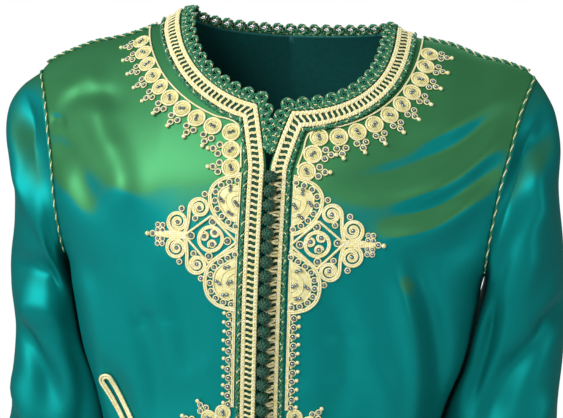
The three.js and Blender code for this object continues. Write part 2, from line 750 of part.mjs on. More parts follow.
// The line of disc centres: along the neck, round the corner and down the front, and which way each points.
function discLine(front) {
  const { side, inwards, seat } = front;
  const middle = applique.disc / 2;
  const edge = frontInner(side);
  const corner = edge[neckSteps];
  const low = { x: side.sign * frontEdge, z: medallionRows[0].z };
  const slitSide = [corner, ...slit(side, corner), low];
  const down = inwards(slitSide, applique.front - frontEdge + middle);
  const neckEdge = resample(edge.slice(0, neckSteps + 1), 4);
  const [first, last] = side.discs.map((distance) => inwards(neckEdge, distance + middle));
  const neck = first.map((p, i) => {
    const share = i / (neckEdge.length - 1);
    return { x: mix(p.x, last[i].x, share), z: mix(p.z, last[i].z, share) };
  });
  const round = neck.filter((p) => Math.abs(p.x) > Math.abs(down[0].x));
  const rest = down.filter((p) => p.z < round.at(-1).z - 6 && p.z > low.z + middle);
  const line = resample([...round, ...rest, { x: down.at(-1).x, z: low.z + middle }], applique.step, seat);
  const turn = applique.cornerTurn;
  return line.map((p, i) => {
    const a = line[Math.max(i - turn, 0)];
    const b = line[Math.min(i + turn, line.length - 1)];
    const length = -side.sign * Math.hypot(b.x - a.x, b.z - a.z);
    return { ...p, outX: (b.z - a.z) / length, outZ: (a.x - b.x) / length };
  });
}

fronts.forEach((front) => {
  const { side, seat } = front;
  const turned = side.sign < 0;
  const discs = discLine(front);
  const shifted = (p, distance) => ({ x: p.x + p.outX * distance, z: p.z + p.outZ * distance });
  const near = discs.map((p) => shifted(p, 1 - applique.disc / 2));
  const far = discs.map((p, i) => shifted(p, applique.disc / 2 + (i % 2 ? applique.pendant : 0)));
  add("neck_applique_" + side.name, keepToFace(strip(seat, near, far, 4, turned), "front"), goldThread);

  const motif = (rows) => {
    const start = rows.map((row) => ({ x: side.sign * applique.front, z: row.z }));
    const reach = rows.map((row) => ({ x: side.sign * row.reach, z: row.z }));
    return strip(seat, start, reach, 6, turned);
  };
  add("medallion_" + side.name, motif(medallionRows), goldThread);
  add("waist_motif_" + side.name, motif(waistRows), goldThread);
  Object.entries(picot.runs).forEach(([name, [top, bottom]]) => {
    const line = (x) => resample([top, bottom].map((z) => ({ x: side.sign * x, z })), picot.step);
    const edge = strip(seat, line(applique.front), line(picot.reach), 1, turned, trimLift.edge);
    add("picot_" + name + side.name, edge, goldThread);
  });
});

// ---- cord over each armhole seam, up the front and down the back
sides.forEach((side, sideIndex) => {
  const ring = armholeRing(sideIndex);
  const order = Array.from({ length: 2 * armholeCord.steps - 1 }, (_, i) => armholeCord.steps - 1 - i);
  const corners = order.map((i) => ring.at(i));
  const outs = corners.map((corner) => corner.outer.clone().sub(corner.inner).normalize());
  const centres = corners.map((corner, i) => corner.outer.clone()
    .addScaledVector(outs[i], trimLift.edge + armholeCord.radius)
    .addScaledVector(corner.away, -armholeCord.inset));
  add("armhole_cord_" + side.name, cordGeometry(centres, outs, armholeCord.radius, 6), greenGoldCord);
});

// ---- a thicker cord along each shoulder seam, just behind it
sides.forEach((side) => {
  const flatAt = (x) => ({ x: side.sign * x, z: shoulderLine(side.sign * x) - shoulderCord.fall });
  const ends = [side.neckHalf + shoulderCord.from, shoulderCord.end].map(flatAt);
  const line = resample(ends, shoulderCord.step).map((p) => flatAt(Math.abs(p.x)));
  const cord = laidCord(back.seat, line, shoulderCord.radius, 6);
  add("shoulder_cord_" + side.name, keepToFace(cord, "back"), greenGoldCord);
});

// ---- knotted buttons and the belt loop
for (let i = 0; i < button.count; i++) {
  const lift = trimLift.edge + trimWall + button.clear + button.radius;
  const ball = add(
    "button_" + String(i + 1).padStart(2, "0"),
    new THREE.SphereGeometry(button.radius, 8, 4),
    greenSilk,
  );
  ball.position.copy(fronts[1].seat(button.x, button.first - i * button.pitch, lift));
}

const loopDown = { x: Math.sin(radians(beltLoop.lean)), z: -Math.cos(radians(beltLoop.lean)) };
const loopSpot = (down, across) => ({
  x: beltLoop.x + down * loopDown.x - across * loopDown.z,
  z: beltLoop.z + down * loopDown.z + across * loopDown.x,
});
const loopLine = [
  ...[1, 0.75, 0.5, 0.25].map((share) => loopSpot(beltLoop.length * share, -beltLoop.radius)),
  ...[-90, -54, -18, 18, 54, 90].map((turn) => loopSpot(
    -beltLoop.radius * Math.cos(radians(turn)),
    beltLoop.radius * Math.sin(radians(turn)),
  )),
  ...[0.25, 0.5, 0.75, 1].map((share) => loopSpot(beltLoop.length * share, beltLoop.radius)),
];
add("belt_loop", laidCord(fronts[0].seat, loopLine, beltLoop.cord, 6), goldThread);

export default tunic;
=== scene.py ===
import math

import bmesh
import bpy
import numpy as np
from mathutils import Matrix, Vector


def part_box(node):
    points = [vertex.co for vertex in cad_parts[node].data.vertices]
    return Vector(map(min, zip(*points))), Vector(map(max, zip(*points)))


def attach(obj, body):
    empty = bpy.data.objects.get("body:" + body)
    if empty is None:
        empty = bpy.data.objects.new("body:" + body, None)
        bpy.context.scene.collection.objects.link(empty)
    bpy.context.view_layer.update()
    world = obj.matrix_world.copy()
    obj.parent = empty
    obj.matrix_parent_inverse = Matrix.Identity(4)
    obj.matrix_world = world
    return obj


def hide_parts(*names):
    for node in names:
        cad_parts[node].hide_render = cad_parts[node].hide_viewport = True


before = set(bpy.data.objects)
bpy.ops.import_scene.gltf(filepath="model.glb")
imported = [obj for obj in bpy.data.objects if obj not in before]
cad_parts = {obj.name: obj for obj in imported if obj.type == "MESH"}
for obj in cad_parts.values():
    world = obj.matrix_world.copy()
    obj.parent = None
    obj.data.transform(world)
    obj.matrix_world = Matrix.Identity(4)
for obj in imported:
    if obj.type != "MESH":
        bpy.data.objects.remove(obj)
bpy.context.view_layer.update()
mm = 0.001

# The tunic's form, in millimetres. Its CAD pieces hang on the same sections, so cloth, folds and trims
# all lie on them.
form = {
    "shoulderHalf": 227,
    "shoulderRise": 20,
    "shoulderEase": {"front": 160, "back": 140},
    "shoulderRound": 1.4,
    "bodyRound": 2.5,
    "underarm": -230,
    "armholeDepth": 58,
    "hem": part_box("back")[0].z / mm,
    "frontEdge": 1.5,
    "slitEnd": -136,
    "backNeckDrop": 18,
    "backNeckPower": 2.3,
    "seamGap": 0.3,
    "sleeveRound": 0.85,
    "sleeveClear": 3.2,
    "headClear": 3.4,
    "sleeveTuck": 5,
    "foldDepth": (6, 40),  # folds start where the body is so deep and are whole where it is so deep,
    "foldEdge": (12, 34),  # and the same with the distance from the centre line
    "fluteDepth": 16,
    "fluteTop": -410,
    "flutes": [(7, 0.5, 0.4), (11, 0.3, 1.9), (4, 0.2, 2.6)],  # how many go round, share, where they start
}

# The wearer's right and left differ a little, as worn. "discs" is how far in from the neck edge the discs
# lie at its two ends; they turn its corner at discTurn and end at discLow.
sides = {
    "right": {"sign": -1, "neckHalf": 94, "neckTop": 0, "neckDrop": 82.5, "neckPower": 1.9, "corner": 12.5},
    "left": {"sign": 1, "neckHalf": 99, "neckTop": -10, "neckDrop": 86.5, "neckPower": 2.55, "corner": 15.5},
}
sides["right"].update(name="right", drop=63, discs=(43, 27.5), discTurn=(33.5, -107), discLow=(31.3, -136.5))
sides["left"].update(name="left", drop=50, discs=(34, 25.5), discTurn=(41.3, -108), discLow=(32.9, -136.5))

bodyRows = {
    "z": [20, -60, -110, -155, -205, -230, -255, -310, -350, -395, -450, -520, -610, -700, -820, -950],
    "half": [250, 241, 231, 218, 203, 190, 186, 175, 161, 152, 156, 169, 190, 204, 220, 238],
    "front": [88, 96, 106, 115, 120, 120, 118, 110, 103, 99, 101, 109, 121, 131, 144, 158],
    "back": [70, 92, 106, 112, 108, 104, 100, 92, 88, 86, 94, 108, 124, 134, 146, 160],
}
shoulderRows = {
    "z": [0, 0.1, 0.25, 0.4, 0.5, 0.62, 0.75, 0.87, 0.95, 1],
    "right": [0, -9, -19, -26.5, -30, -33.5, -40.5, -48, -55, -63],
    "left": [-10, -15.5, -20, -23.5, -28, -33.5, -36.5, -41, -45, -50],
}
armholeRows = {"z": [0, 0.17, 0.41, 0.56, 0.86, 1], "x": [227, 215.5, 205, 198.5, 190.8, 190]}
sleeveRows = {
    "z": list(range(14)),  # the row's number, from the armhole (0) to the cuff
    "right": [227, 245, 256.5, 256.5, 247.5, 247, 252, 247, 251, 256, 269, 284, 299, 312],
    "left": [227, 237.5, 247, 252.5, 253, 260, 266, 267, 265, 270, 278, 288, 300, 313],
    "outZ": [-58, -72, -90, -116, -150, -195, -245, -300, -355, -410, -465, -520, -580, -645],
    "inZ": [-230, -236, -244, -256, -272, -294, -320, -352, -388, -430, -475, -524, -580, -645],
    "depth": [58, 60, 62, 63, 64, 65, 66, 67, 68, 70, 72, 74, 77, 80],
    "y": [0, 1, 3, 6, 10, 16, 22, 28, 32, 32, 28, 22, 14, 8],
}
cuffRow = sleeveRows["z"][-1]

# Folds run from (x, z) to (x, z), stand out by a height and have a half width. On a sleeve, x is in
# degrees from its outer edge round towards the front, and a degree is about a millimetre.
folds = {
    "front": [
        # wearer's left: pulled from the armhole down across the chest
        ((216, -44), (104, -106), 5, 14),
        ((211, -66), (48, -150), -6, 12),
        ((204, -92), (104, -160), 6, 12),
        ((199, -116), (100, -178), -6, 10),
        ((192, -134), (86, -198), 7, 13),
        ((188, -172), (96, -226), -6, 16),
        ((106, -196), (118, -440), 10, 12),
        ((124, -196), (130, -440), -14, 11),
        ((172, -270), (176, -420), 5, 12),
        ((56, -226), (58, -372), -7, 14),
        ((44, -278), (98, -281), -2.5, 5),
        ((26, -330), (88, -326), 3, 9),
        ((98, -286), (102, -430), 7, 14),
        # wearer's right: softer, fanning out below the shoulder
        ((-216, -166), (-96, -200), 9, 36),
        ((-218, -66), (-136, -134), 5, 14),
        ((-200, -90), (-128, -86), -5, 9),
        ((-190, -48), (-148, -116), 4, 12),
        ((-156, -104), (-122, -184), 5, 14),
        ((-206, -118), (-148, -190), -5, 13),
        ((-208, -106), (-186, -108), -3, 4),
        ((-188, -152), (-92, -240), -4, 20),
        ((-190, -206), (-150, -390), 8, 14),
        ((-124, -240), (-94, -390), -9, 15),
        ((-84, -220), (-76, -380), -7, 16),
        ((-116, -278), (-64, -272), -2.5, 5),
        ((-154, -300), (-120, -440), -9, 13),
        ((-40, -300), (-84, -330), 3, 9),
    ],
    "back": [
        ((208, -96), (48, -160), -6, 14),
        ((204, -126), (60, -196), 6, 13),
        ((198, -160), (66, -252), -6, 14),
        ((100, -280), (92, -450), -8, 13),
        ((34, -270), (40, -440), 6, 14),
        ((150, -250), (140, -430), 6, 13),
        ((-208, -106), (-60, -176), -6, 14),
        ((-202, -140), (-70, -214), 5, 13),
        ((-192, -180), (-80, -268), -5, 16),
        ((-30, -280), (-26, -440), -6, 14),
        ((-104, -276), (-98, -440), 8, 13),
        ((-146, -250), (-150, -420), -6, 12),
    ],
    "right": [
        ((8, -80), (176, -244), -15, 14),
        ((52, -78), (176, -196), 9, 17),
        ((34, -146), (130, -246), 6, 16),
        ((22, -244), (160, -266), -12, 13),
        ((46, -284), (128, -290), 8, 14),
        ((40, -288), (98, -384), -12, 14),
        ((30, -340), (74, -418), 6, 14),
        ((130, -290), (104, -420), -8, 16),
        ((6, -376), (122, -456), -8, 14),
        ((20, -440), (130, -546), -6, 12),
        ((350, -520), (70, -580), -4, 10),
        ((340, -120), (236, -300), -9, 12),
        ((345, -250), (240, -410), -8, 11),
        ((330, -350), (232, -480), 6, 13),
        ((336, -450), (250, -570), -6, 12),
    ],
    "left": [
        ((10, -80), (174, -240), -15, 14),
        ((44, -70), (66, -176), 5, 13),
        ((30, -148), (104, -230), 6, 16),
        ((56, -184), (102, -306), 8, 16),
        ((6, -250), (80, -292), -11, 12),
        ((68, -276), (96, -378), -12, 13),
        ((104, -240), (116, -366), -13, 14),
        ((28, -330), (68, -398), 6, 14),
        ((2, -380), (122, -468), -8, 14),
        ((26, -452), (128, -552), -6, 12),
        ((350, -530), (66, -588), -4, 10),
        ((342, -126), (238, -290), -9, 12),
        ((346, -240), (240, -396), -8, 12),
        ((332, -360), (236, -470), 6, 12),
        ((338, -440), (250, -560), -6, 12),
    ],
}


def smooth(v, low, high):
    t = np.clip((np.asarray(v, float) - low) / (high - low), 0, 1)
    return t * t * (3 - 2 * t)


def mix(a, b, t):
    return a + (b - a) * t


def signedPower(v, power):
    return np.sign(v) * np.abs(v) ** power


def column(rows, key):
    # a smooth curve through one column of a table, read at any z
    z = np.array(rows["z"], float)
    v = np.array(rows[key], float)
    last = np.arange(len(z)).clip(1) - 1
    following = (np.arange(len(z)) + 1).clip(max=len(z) - 1)
    slope = (v[following] - v[last]) / (z[following] - z[last])
    order = np.sign(z[1] - z[0])

    def read(at):
        at = np.asarray(at, float)
        i = (np.searchsorted(z * order, at * order, side="right") - 1).clip(0, len(z) - 2)
        run = z[i + 1] - z[i]
        t = ((at - z[i]) / run).clip(0, 1)
        start = v[i] * (2 * t**3 - 3 * t**2 + 1) + slope[i] * run * (t**3 - 2 * t**2 + t)
        return start + v[i + 1] * (3 * t**2 - 2 * t**3) + slope[i + 1] * run * (t**3 - t**2)

    return read


halfWidth = column(bodyRows, "half")
depthOf = {"front": column(bodyRows, "front"), "back": column(bodyRows, "back")}
armholeX = column(armholeRows, "x")


def sideValue(x, key):
    return np.where(np.asarray(x) < 0, sides["right"][key], sides["left"][key])


shoulderAt = {word: column(shoulderRows, word) for word in sides}


def shoulderLine(x):
    neckHalf = sideValue(x, "neckHalf")
    out = (np.abs(x) - neckHalf) / (form["shoulderHalf"] - neckHalf)
    overNeck = mix(form["shoulderRise"], sideValue(x, "neckTop"), np.abs(x) / neckHalf)
    beyond = np.where(np.asarray(x) < 0, shoulderAt["right"](out), shoulderAt["left"](out))
    return np.where(out < 0, overNeck, beyond)


def foldLift(rows, x, z):
    lift = 0
    for (x1, z1), (x2, z2), height, width in rows:
        length = math.hypot(x2 - x1, z2 - z1)
        dx, dz = (x2 - x1) / length, (z2 - z1) / length
        along = (x - x1) * dx + (z - z1) * dz
        bow = 0.1 * length * np.sin(np.pi * np.clip(along / length, 0, 1))
        across = (x - x1) * dz - (z - z1) * dx + bow
        ends = smooth(along, -0.05 * length, 0.3 * length) * (1 - smooth(along, 0.6 * length, 1.05 * length))
        lift = lift + height * ends * np.exp(-((across / width) ** 2))
    return lift


def bodyPoint(face, x, z):
    # a flat point (x, z) of a panel, where it hangs on the body
    x, z = np.broadcast_arrays(np.asarray(x, float), np.asarray(z, float))
    fall = shoulderLine(x) - z
    round_ = (1 - (1 - (fall / form["shoulderEase"][face]).clip(0, 1)) ** 2) ** (1 / form["shoulderRound"])
    across = (np.abs(x) / halfWidth(z)).clip(0, 1)
    full = depthOf[face](z) * round_ * (1 - across ** form["bodyRound"]) ** (1 / form["bodyRound"])
    room = smooth(full, *form["foldDepth"]), smooth(np.abs(x), *form["foldEdge"])
    depth = full + foldLift(folds[face], x, z) * room[0] * room[1]
    y = (form["seamGap"] / 2 + depth.clip(0)) * (-1 if face == "front" else 1)
    angle = np.arctan2(y, x)
    wave = sum(share * np.cos(count * angle + start) for count, share, start in form["flutes"])
    push = form["fluteDepth"] * smooth(-z, -form["fluteTop"], -form["hem"]) * wave
    grow = 1 + push / np.hypot(x, y).clip(1)
    return np.stack([x * grow, y * grow, z], axis=-1)


def unit(v):
    return v / np.linalg.norm(v, axis=-1, keepdims=True).clip(1e-9)


def runLength(points):
    # how far along a line each of its points lies
    return np.concatenate([[0], np.cumsum(np.linalg.norm(np.diff(points, axis=0), axis=1))])


def layOn(face, x, z, lift=0.0):
    # points on the cloth at flat points, raised by a lift, and which way is out of the cloth there
    step = 0.4
    x, z = np.broadcast_arrays(np.asarray(x, float), np.asarray(z, float))
    z = np.minimum(z, shoulderLine(x))
    rise = (shoulderLine(x + step) - shoulderLine(x - step)) / 2
    across = bodyPoint(face, x + step, z + rise) - bodyPoint(face, x - step, z - rise)
    here = bodyPoint(face, x, z)
    up = here - bodyPoint(face, x, z - step)
    out = unit(np.cross(across, up)) * (1 if face == "front" else -1)
    return here + out * np.broadcast_to(lift, x.shape)[..., None], out


def readSteps(values, at):
    return np.interp(at, np.arange(len(values)), values)


# the fan of rows that each panel is cut in: seven down the neck, three down the slit, then to the hem
armholeShares = [0, 0.02, 0.08, 0.17, 0.3, 0.45, 0.61, 0.75, 0.87, 0.955, 1]
skirtHeights = [-691, -780, -865, form["hem"]]
sideHeights = [-230, -250, -272, -296, -322, -348, -376, -405, -440, -487, -543, -612] + skirtHeights
frontHeights = [form["slitEnd"], -175, -210, -245, -280, -315, -350, -390, -430, -480, -540, -611]
frontHeights += skirtHeights
backHeights = [-form["backNeckDrop"], -60, -105, -150, -190, -225, -258, -292, -325, -358, -395, -435]
backHeights += [-484, -542, -612] + skirtHeights
bowShares = [1, 0.95, 0.8, 0.6, 0.4, 0.2, 0.08, 0]
neckSteps = 7
slitSteps = 3


def neckline(side, drop, power, endX, share):
    # a quarter of a squared oval, from the shoulder to its lowest point or its corner
    last = math.acos((endX / side["neckHalf"]) ** (power / 2))
    angle = last * share**1.3
    x = side["neckHalf"] * np.cos(angle).clip(0) ** (2 / power)
    return side["sign"] * x, mix(side["neckTop"], -drop, np.sin(angle) ** (2 / power))


def innerEdge(face, side, row):
    row = np.asarray(row, float)
    share = (row / neckSteps).clip(0, 1)
    if face == "back":
        x, z = neckline(side, form["backNeckDrop"], form["backNeckPower"], 0, share)
        low = readSteps(backHeights, row - neckSteps)
        return np.where(row < neckSteps, x, 0), np.where(row < neckSteps, z, low)
    x, z = neckline(side, side["neckDrop"], side["neckPower"], side["corner"], share)
    cornerZ = float(neckline(side, side["neckDrop"], side["neckPower"], side["corner"], np.array(1.0))[1])
    down = ((row - neckSteps) / slitSteps).clip(0, 1)
    slitX = side["sign"] * mix(form["frontEdge"], side["corner"], (1 - down) ** 1.25)
    low = readSteps(frontHeights, row - neckSteps - slitSteps)
    x = np.where(row < neckSteps, x, slitX)
    z = np.where(row < neckSteps, z, np.where(down < 1, mix(cornerZ, form["slitEnd"], down), low))
    return x, z


def outerEdge(side, row):
    share = readSteps(armholeShares, row)
    onArmhole = row < len(armholeShares) - 1
    low = readSteps(sideHeights, row - len(armholeShares) + 1)
    z = np.where(onArmhole, mix(-side["drop"], form["underarm"], share), low)
    x = np.where(onArmhole, armholeX(share), halfWidth(low))
    return side["sign"] * x, z


# Every piece is gathered from parts: points, four-cornered faces, each face's pattern coordinates, and the
# part's material slot.
def gridPart(points, uv, flip=False, slot=0):
    rows, columns = points.shape[:2]
    index = np.arange(rows * columns).reshape(rows, columns)
    a, b, c, d = index[:-1, :-1], index[:-1, 1:], index[1:, 1:], index[1:, :-1]
    faces = np.stack([a, d, c, b] if flip else [a, b, c, d], -1).reshape(-1, 4)
    return points.reshape(-1, 3), faces, uv.reshape(-1, 2)[faces], slot


def tubePart(centres, outs, radius, corners=6, closed=False, flat=1.0, slot=0):
    # cords, rings and beads: one or many lines of centres, each swept by a round section of changing radius
    centres = np.asarray(centres, float)
    rings = centres.shape[-2]
    ahead = np.roll(centres, -1, axis=-2) if closed else centres
    run = ahead - np.roll(centres, 1, axis=-2) if closed else np.gradient(centres, axis=-2)
    run = unit(run)
    sideways = unit(np.cross(run, np.broadcast_to(outs, centres.shape)))
    out = np.cross(sideways, run)
    turn = 2 * np.pi * np.arange(corners) / corners
    size = np.broadcast_to(radius, centres.shape[:-1])[..., None, None]
    section = flat * out[..., None, :] * np.cos(turn)[:, None]
    section = section + sideways[..., None, :] * np.sin(turn)[:, None]
    points = (centres[..., None, :] + size * section).reshape(-1, rings, corners, 3)
    index = np.arange(points[..., 0].size).reshape(-1, rings, corners)
    steps = np.linalg.norm(np.diff(centres.reshape(-1, rings, 3), axis=1), axis=-1)
    length = np.concatenate([np.zeros((len(steps), 1)), np.cumsum(steps, axis=1)], axis=1)
    here, there = (index, np.roll(index, -1, axis=1)) if closed else (index[:, :-1], index[:, 1:])
    start = length if closed else length[:, :-1]
    end = np.concatenate([length[:, 1:], length[:, -1:] + 1], axis=1) if closed else length[:, 1:]
    faces = np.stack([here, np.roll(here, -1, axis=2), np.roll(there, -1, axis=2), there], -1)
    round_ = np.broadcast_to(np.arange(corners) / corners, here.shape)
    start, end = (np.broadcast_to(v[..., None], here.shape) for v in (start, end))
    step = 1 / corners
    uv = np.stack([start, round_, start, round_ + step, end, round_ + step, end, round_], -1)
    return points.reshape(-1, 3), faces.reshape(-1, 4), uv.reshape(-1, 4, 2), slot


def makePiece(name, parts, looks, stands=()):
    points = np.concatenate([part[0] for part in parts])
    starts = np.cumsum([0] + [len(part[0]) for part in parts[:-1]])
    faces = np.concatenate([part[1] + start for part, start in zip(parts, starts)])
    uv = np.concatenate([part[2] for part in parts])
    slots = np.concatenate([np.full(len(part[1]), part[3]) for part in parts])
    mesh = bpy.data.meshes.new(name)
    mesh.vertices.add(len(points))
    mesh.vertices.foreach_set("co", (points * mm).ravel())
    mesh.loops.add(faces.size)
    mesh.loops.foreach_set("vertex_index", faces.ravel().astype(np.int32))
    mesh.polygons.add(len(faces))
    mesh.polygons.foreach_set("loop_start", np.arange(0, faces.size, 4, dtype=np.int32))
    mesh.polygons.foreach_set("material_index", slots.astype(np.int32))
    mesh.uv_layers.new(name="pattern").data.foreach_set("uv", (uv * mm).ravel())
    mesh.update(calc_edges=True)
    mesh.shade_smooth()
    for look in looks:
        mesh.materials.append(look)
    piece = bpy.data.objects.new(name, mesh)
    bpy.context.collection.objects.link(piece)
    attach(piece, "root")
    if stands:
        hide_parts(*stands)
    print(name, len(faces), "faces")
    return piece


# materials
def linear(text):
    # an sRGB hex colour as Blender's linear one
    parts = [int(text[i : i + 2], 16) / 255 for i in (1, 3, 5)]
    return tuple(v / 12.92 if v <= 0.04045 else ((v + 0.055) / 1.055) ** 2.4 for v in parts) + (1.0,)


def addNode(tree, kind, inputs=None, **settings):
    node = tree.nodes.new(kind)
    for key, value in settings.items():
        setattr(node, key, value)
    for key, value in (inputs or {}).items():
        if isinstance(value, bpy.types.NodeSocket):
            tree.links.new(value, node.inputs[key])
        else:
            node.inputs[key].default_value = value
    return node


def newMaterial(name, **shader):
    material = bpy.data.materials.new(name)
    material.use_nodes = True
    tree = material.node_tree
    body = tree.nodes["Principled BSDF"]
    for key, value in shader.items():
        body.inputs[key.replace("_", " ")].default_value = value
    return material, tree, body


def colourAndRelief(tree, body, share, dark, pale, relief):
    colours = {"Factor": share, "A": linear(dark), "B": linear(pale)}
    colour = addNode(tree, "ShaderNodeMix", colours, data_type="RGBA")
    tree.links.new(colour.outputs["Result"], body.inputs["Base Color"])
    tree.links.new(relief.outputs["Normal"], body.inputs["Normal"])


# sizes in millimetres: how far apart the grains of a pattern are. Each finer layer of it halves that.
satin = {
    "cloud": 71.43,  # how broad the patches are where green and teal wander a little
    "wander": 0.16,
    "flareFrom": -185,
    "flareTo": -270,
    "flareTilt": 0.2,
    "weave": 3.846,
    "weaveDepth": 0.2,
    "ripple": 45.45,
    "rippleDepth": 1.2,
}
thread = {"fibre": 2.381, "plyPaintedShade": 0.22, "paintedShadeBand": (0.25, 0.72)}


def perMetre(size):
    return 1 / (size * mm)


def shotSatin(name, colours, paintedSheenBand):
    # polyester duchess satin, warp and weft of two colours: smooth long floats give a soft wide gleam. Which
    # colour shows is painted by the way the cloth faces: a painted green sheen where it faces up, teal where
    # it stands upright or turns under
    material, tree, body = newMaterial(name, Roughness=0.5, Metallic=0.62, IOR=1.45)
    body.inputs["Specular Tint"].default_value = linear(colours[0])
    geometry = addNode(tree, "ShaderNodeNewGeometry")
    place = geometry.outputs["Position"]
    normal = addNode(tree, "ShaderNodeSeparateXYZ", {0: geometry.outputs["Normal"]})
    height = addNode(tree, "ShaderNodeSeparateXYZ", {0: place})
    # below the chest the flare leans the cloth up a little, which isn't enough to turn it green
    reach = {1: satin["flareFrom"] * mm, 2: satin["flareTo"] * mm, 3: 0.0, 4: satin["flareTilt"]}
    flare = addNode(tree, "ShaderNodeMapRange", {0: height.outputs["Z"]} | reach)
    patches = {"Vector": place, "Scale": perMetre(satin["cloud"]), "Detail": 3.0}
    cloud = addNode(tree, "ShaderNodeTexNoise", patches)
    spread = {0: cloud.outputs["Fac"], 1: satin["wander"], 2: -satin["wander"] / 2}
    wander = addNode(tree, "ShaderNodeMath", spread, operation="MULTIPLY_ADD")
    upright = {0: normal.outputs["Z"], 1: flare.outputs[0]}
    leaning = addNode(tree, "ShaderNodeMath", upright, operation="SUBTRACT")
    tilt = addNode(tree, "ShaderNodeMath", {0: leaning.outputs[0], 1: wander.outputs[0]}, operation="ADD")
    band = {0: tilt.outputs[0], 1: paintedSheenBand[0], 2: paintedSheenBand[1]}
    # the painted green sheen: up-facing cloth is painted green, the rest stays teal
    paintedGreenSheen = addNode(tree, "ShaderNodeMapRange", band, interpolation_type="SMOOTHSTEP")
    # the finest grain of the weave is about a millimetre, some four times coarser than real yarn, which is
    # too fine to show at this distance
    grains = {"Vector": place, "Scale": perMetre(satin["weave"]), "Detail": 2.0}
    across = addNode(tree, "ShaderNodeTexNoise", grains)
    weave = {"Strength": 0.12, "Distance": satin["weaveDepth"] * mm, "Height": across.outputs["Fac"]}
    fine = addNode(tree, "ShaderNodeBump", weave)
    waves = {"Vector": place, "Scale": perMetre(satin["ripple"]), "Detail": 2.0}
    soft = addNode(tree, "ShaderNodeTexNoise", waves)
    ripple = {"Strength": 0.2, "Distance": satin["rippleDepth"] * mm, "Height": soft.outputs["Fac"]}
    relief = addNode(tree, "ShaderNodeBump", ripple | {"Normal": fine.outputs["Normal"]})
    colourAndRelief(tree, body, paintedGreenSheen.outputs[0], *colours, relief)
    return material


def threadMaterial(name, dark, pale, pitch, depth, **shader):
    # a spun or twisted thread: plies slant round it, its colour is painted darker in the grooves between them
    # and paler on their crests as painted shade and highlight, and it wanders a little along its length
    material, tree, body = newMaterial(name, **shader)
    pattern = addNode(tree, "ShaderNodeUVMap", uv_map="pattern")
    uv = addNode(tree, "ShaderNodeSeparateXYZ", {0: pattern.outputs[0]})
    laid = {0: uv.outputs["X"], 1: 2 * math.pi / (pitch * mm)}
    along = addNode(tree, "ShaderNodeMath", laid, operation="MULTIPLY")
    winding = {0: uv.outputs["Y"], 1: 2 * math.pi / mm, 2: along.outputs[0]}
    slant = addNode(tree, "ShaderNodeMath", winding, operation="MULTIPLY_ADD")
    ply = addNode(tree, "ShaderNodeMath", {0: slant.outputs[0]}, operation="SINE")
    place = addNode(tree, "ShaderNodeNewGeometry").outputs["Position"]
    fibres = {"Vector": place, "Scale": perMetre(thread["fibre"]), "Detail": 2.0}
    cloud = addNode(tree, "ShaderNodeTexNoise", fibres)
    # painted shade in the ply grooves and painted highlight on their crests, plus a random tone from the
    # noise
    both = {0: ply.outputs[0], 1: thread["plyPaintedShade"], 2: cloud.outputs["Fac"]}
    shade = addNode(tree, "ShaderNodeMath", both, operation="MULTIPLY_ADD")
    low, high = thread["paintedShadeBand"]
    spread = addNode(tree, "ShaderNodeMapRange", {0: shade.outputs[0], 1: low, 2: high})
    ridges = {"Strength": 0.6, "Distance": depth * mm, "Height": ply.outputs[0]}
    relief = addNode(tree, "ShaderNodeBump", ridges)
    colourAndRelief(tree, body, spread.outputs[0], dark, pale, relief)
    return material


def mottled(name, dark, pale, grain, depth, **shader):
    # a surface whose colour and height wander together, in grains of that many millimetres
    material, tree, body = newMaterial(name, **shader)
    place = addNode(tree, "ShaderNodeNewGeometry").outputs["Position"]
    grains = {"Vector": place, "Scale": perMetre(grain), "Detail": 3.0}
    cloud = addNode(tree, "ShaderNodeTexNoise", grains)
    bumps = {"Strength": 0.4, "Distance": depth * mm, "Height": cloud.outputs["Fac"]}
    relief = addNode(tree, "ShaderNodeBump", bumps)
    colourAndRelief(tree, body, cloud.outputs["Fac"], dark, pale, relief)
    return material


satinFace = shotSatin("shot polyester satin, teal and green", ("#0f8f8c", "#438a58"), (0.03, 0.2))
# the sleeves' copy, its colours painted a little darker as painted shade, showing its painted green sheen
# only where it faces well up
satinSleeveShaded = shotSatin("shot polyester satin, sleeves", ("#0e8784", "#38815a"), (0.3, 0.75))
# the short floats on the wrong side scatter the light, so it reads matt and darker
satinBack = mottled("satin wrong side, matt teal", "#0a4f4c", "#0f6a66", 4.167, 0.3, Roughness=0.62)
# metallised thread is a dull plastic film round a core, so it shines softly and hardly mirrors
filmShine = {"Roughness": 0.42, "Metallic": 0.05}
stitchShine = {"Roughness": 0.45, "Metallic": 0.05}
goldThread = threadMaterial("gold metallised thread, pale", "#eddc7c", "#fffde0", 1.5, 0.1, **filmShine)
goldPad = threadMaterial("gold thread in satin stitch", "#e6da84", "#fdf9c8", 0.9, 0.07, **stitchShine)
# spun viscose and silk: matt to softly glossy, with painted shade between the plies
cordShine = {"Roughness": 0.5, "Sheen_Weight": 0.1}
silkShine = {"Roughness": 0.38, "Sheen_Weight": 0.05}
greenCord = threadMaterial("green viscose cord", "#0c5a3c", "#2f9468", 1.8, 0.15, **cordShine)
greenDark = threadMaterial("green braid ground", "#073a26", "#0f5c3c", 1.2, 0.1, Roughness=0.7)
greenSilk = threadMaterial("green silk knot cord", "#04301f", "#0c5e44", 1.6, 0.15, **silkShine)
# small hard glints, dark between them, because each bead mirrors the softboxes
beadShine = {"Roughness": 0.16, "Metallic": 0.95, "Coat_Weight": 0.6}
beadMetal = mottled("gunmetal glass bead, mirror finish", "#5f6f7b", "#9aaab4", 1.111, 0.15, **beadShine)
trimLooks = (goldThread, goldPad, greenCord, greenDark, beadMetal, greenSilk)
goldSlot, padSlot, cordSlot, groundSlot, beadSlot, silkSlot = range(6)
print("satin,", len(trimLooks), "trim materials")


# cloth
cloth = {
    "thickness": 1.2,
    "across": 110,  # columns from the neck edge to the side seam
    "down": 6,  # rows between one cut row and the next
    "crest": 10,  # more rows next to the shoulder seam, where the cloth turns over
    "round": 96,
    "along": 8,
}


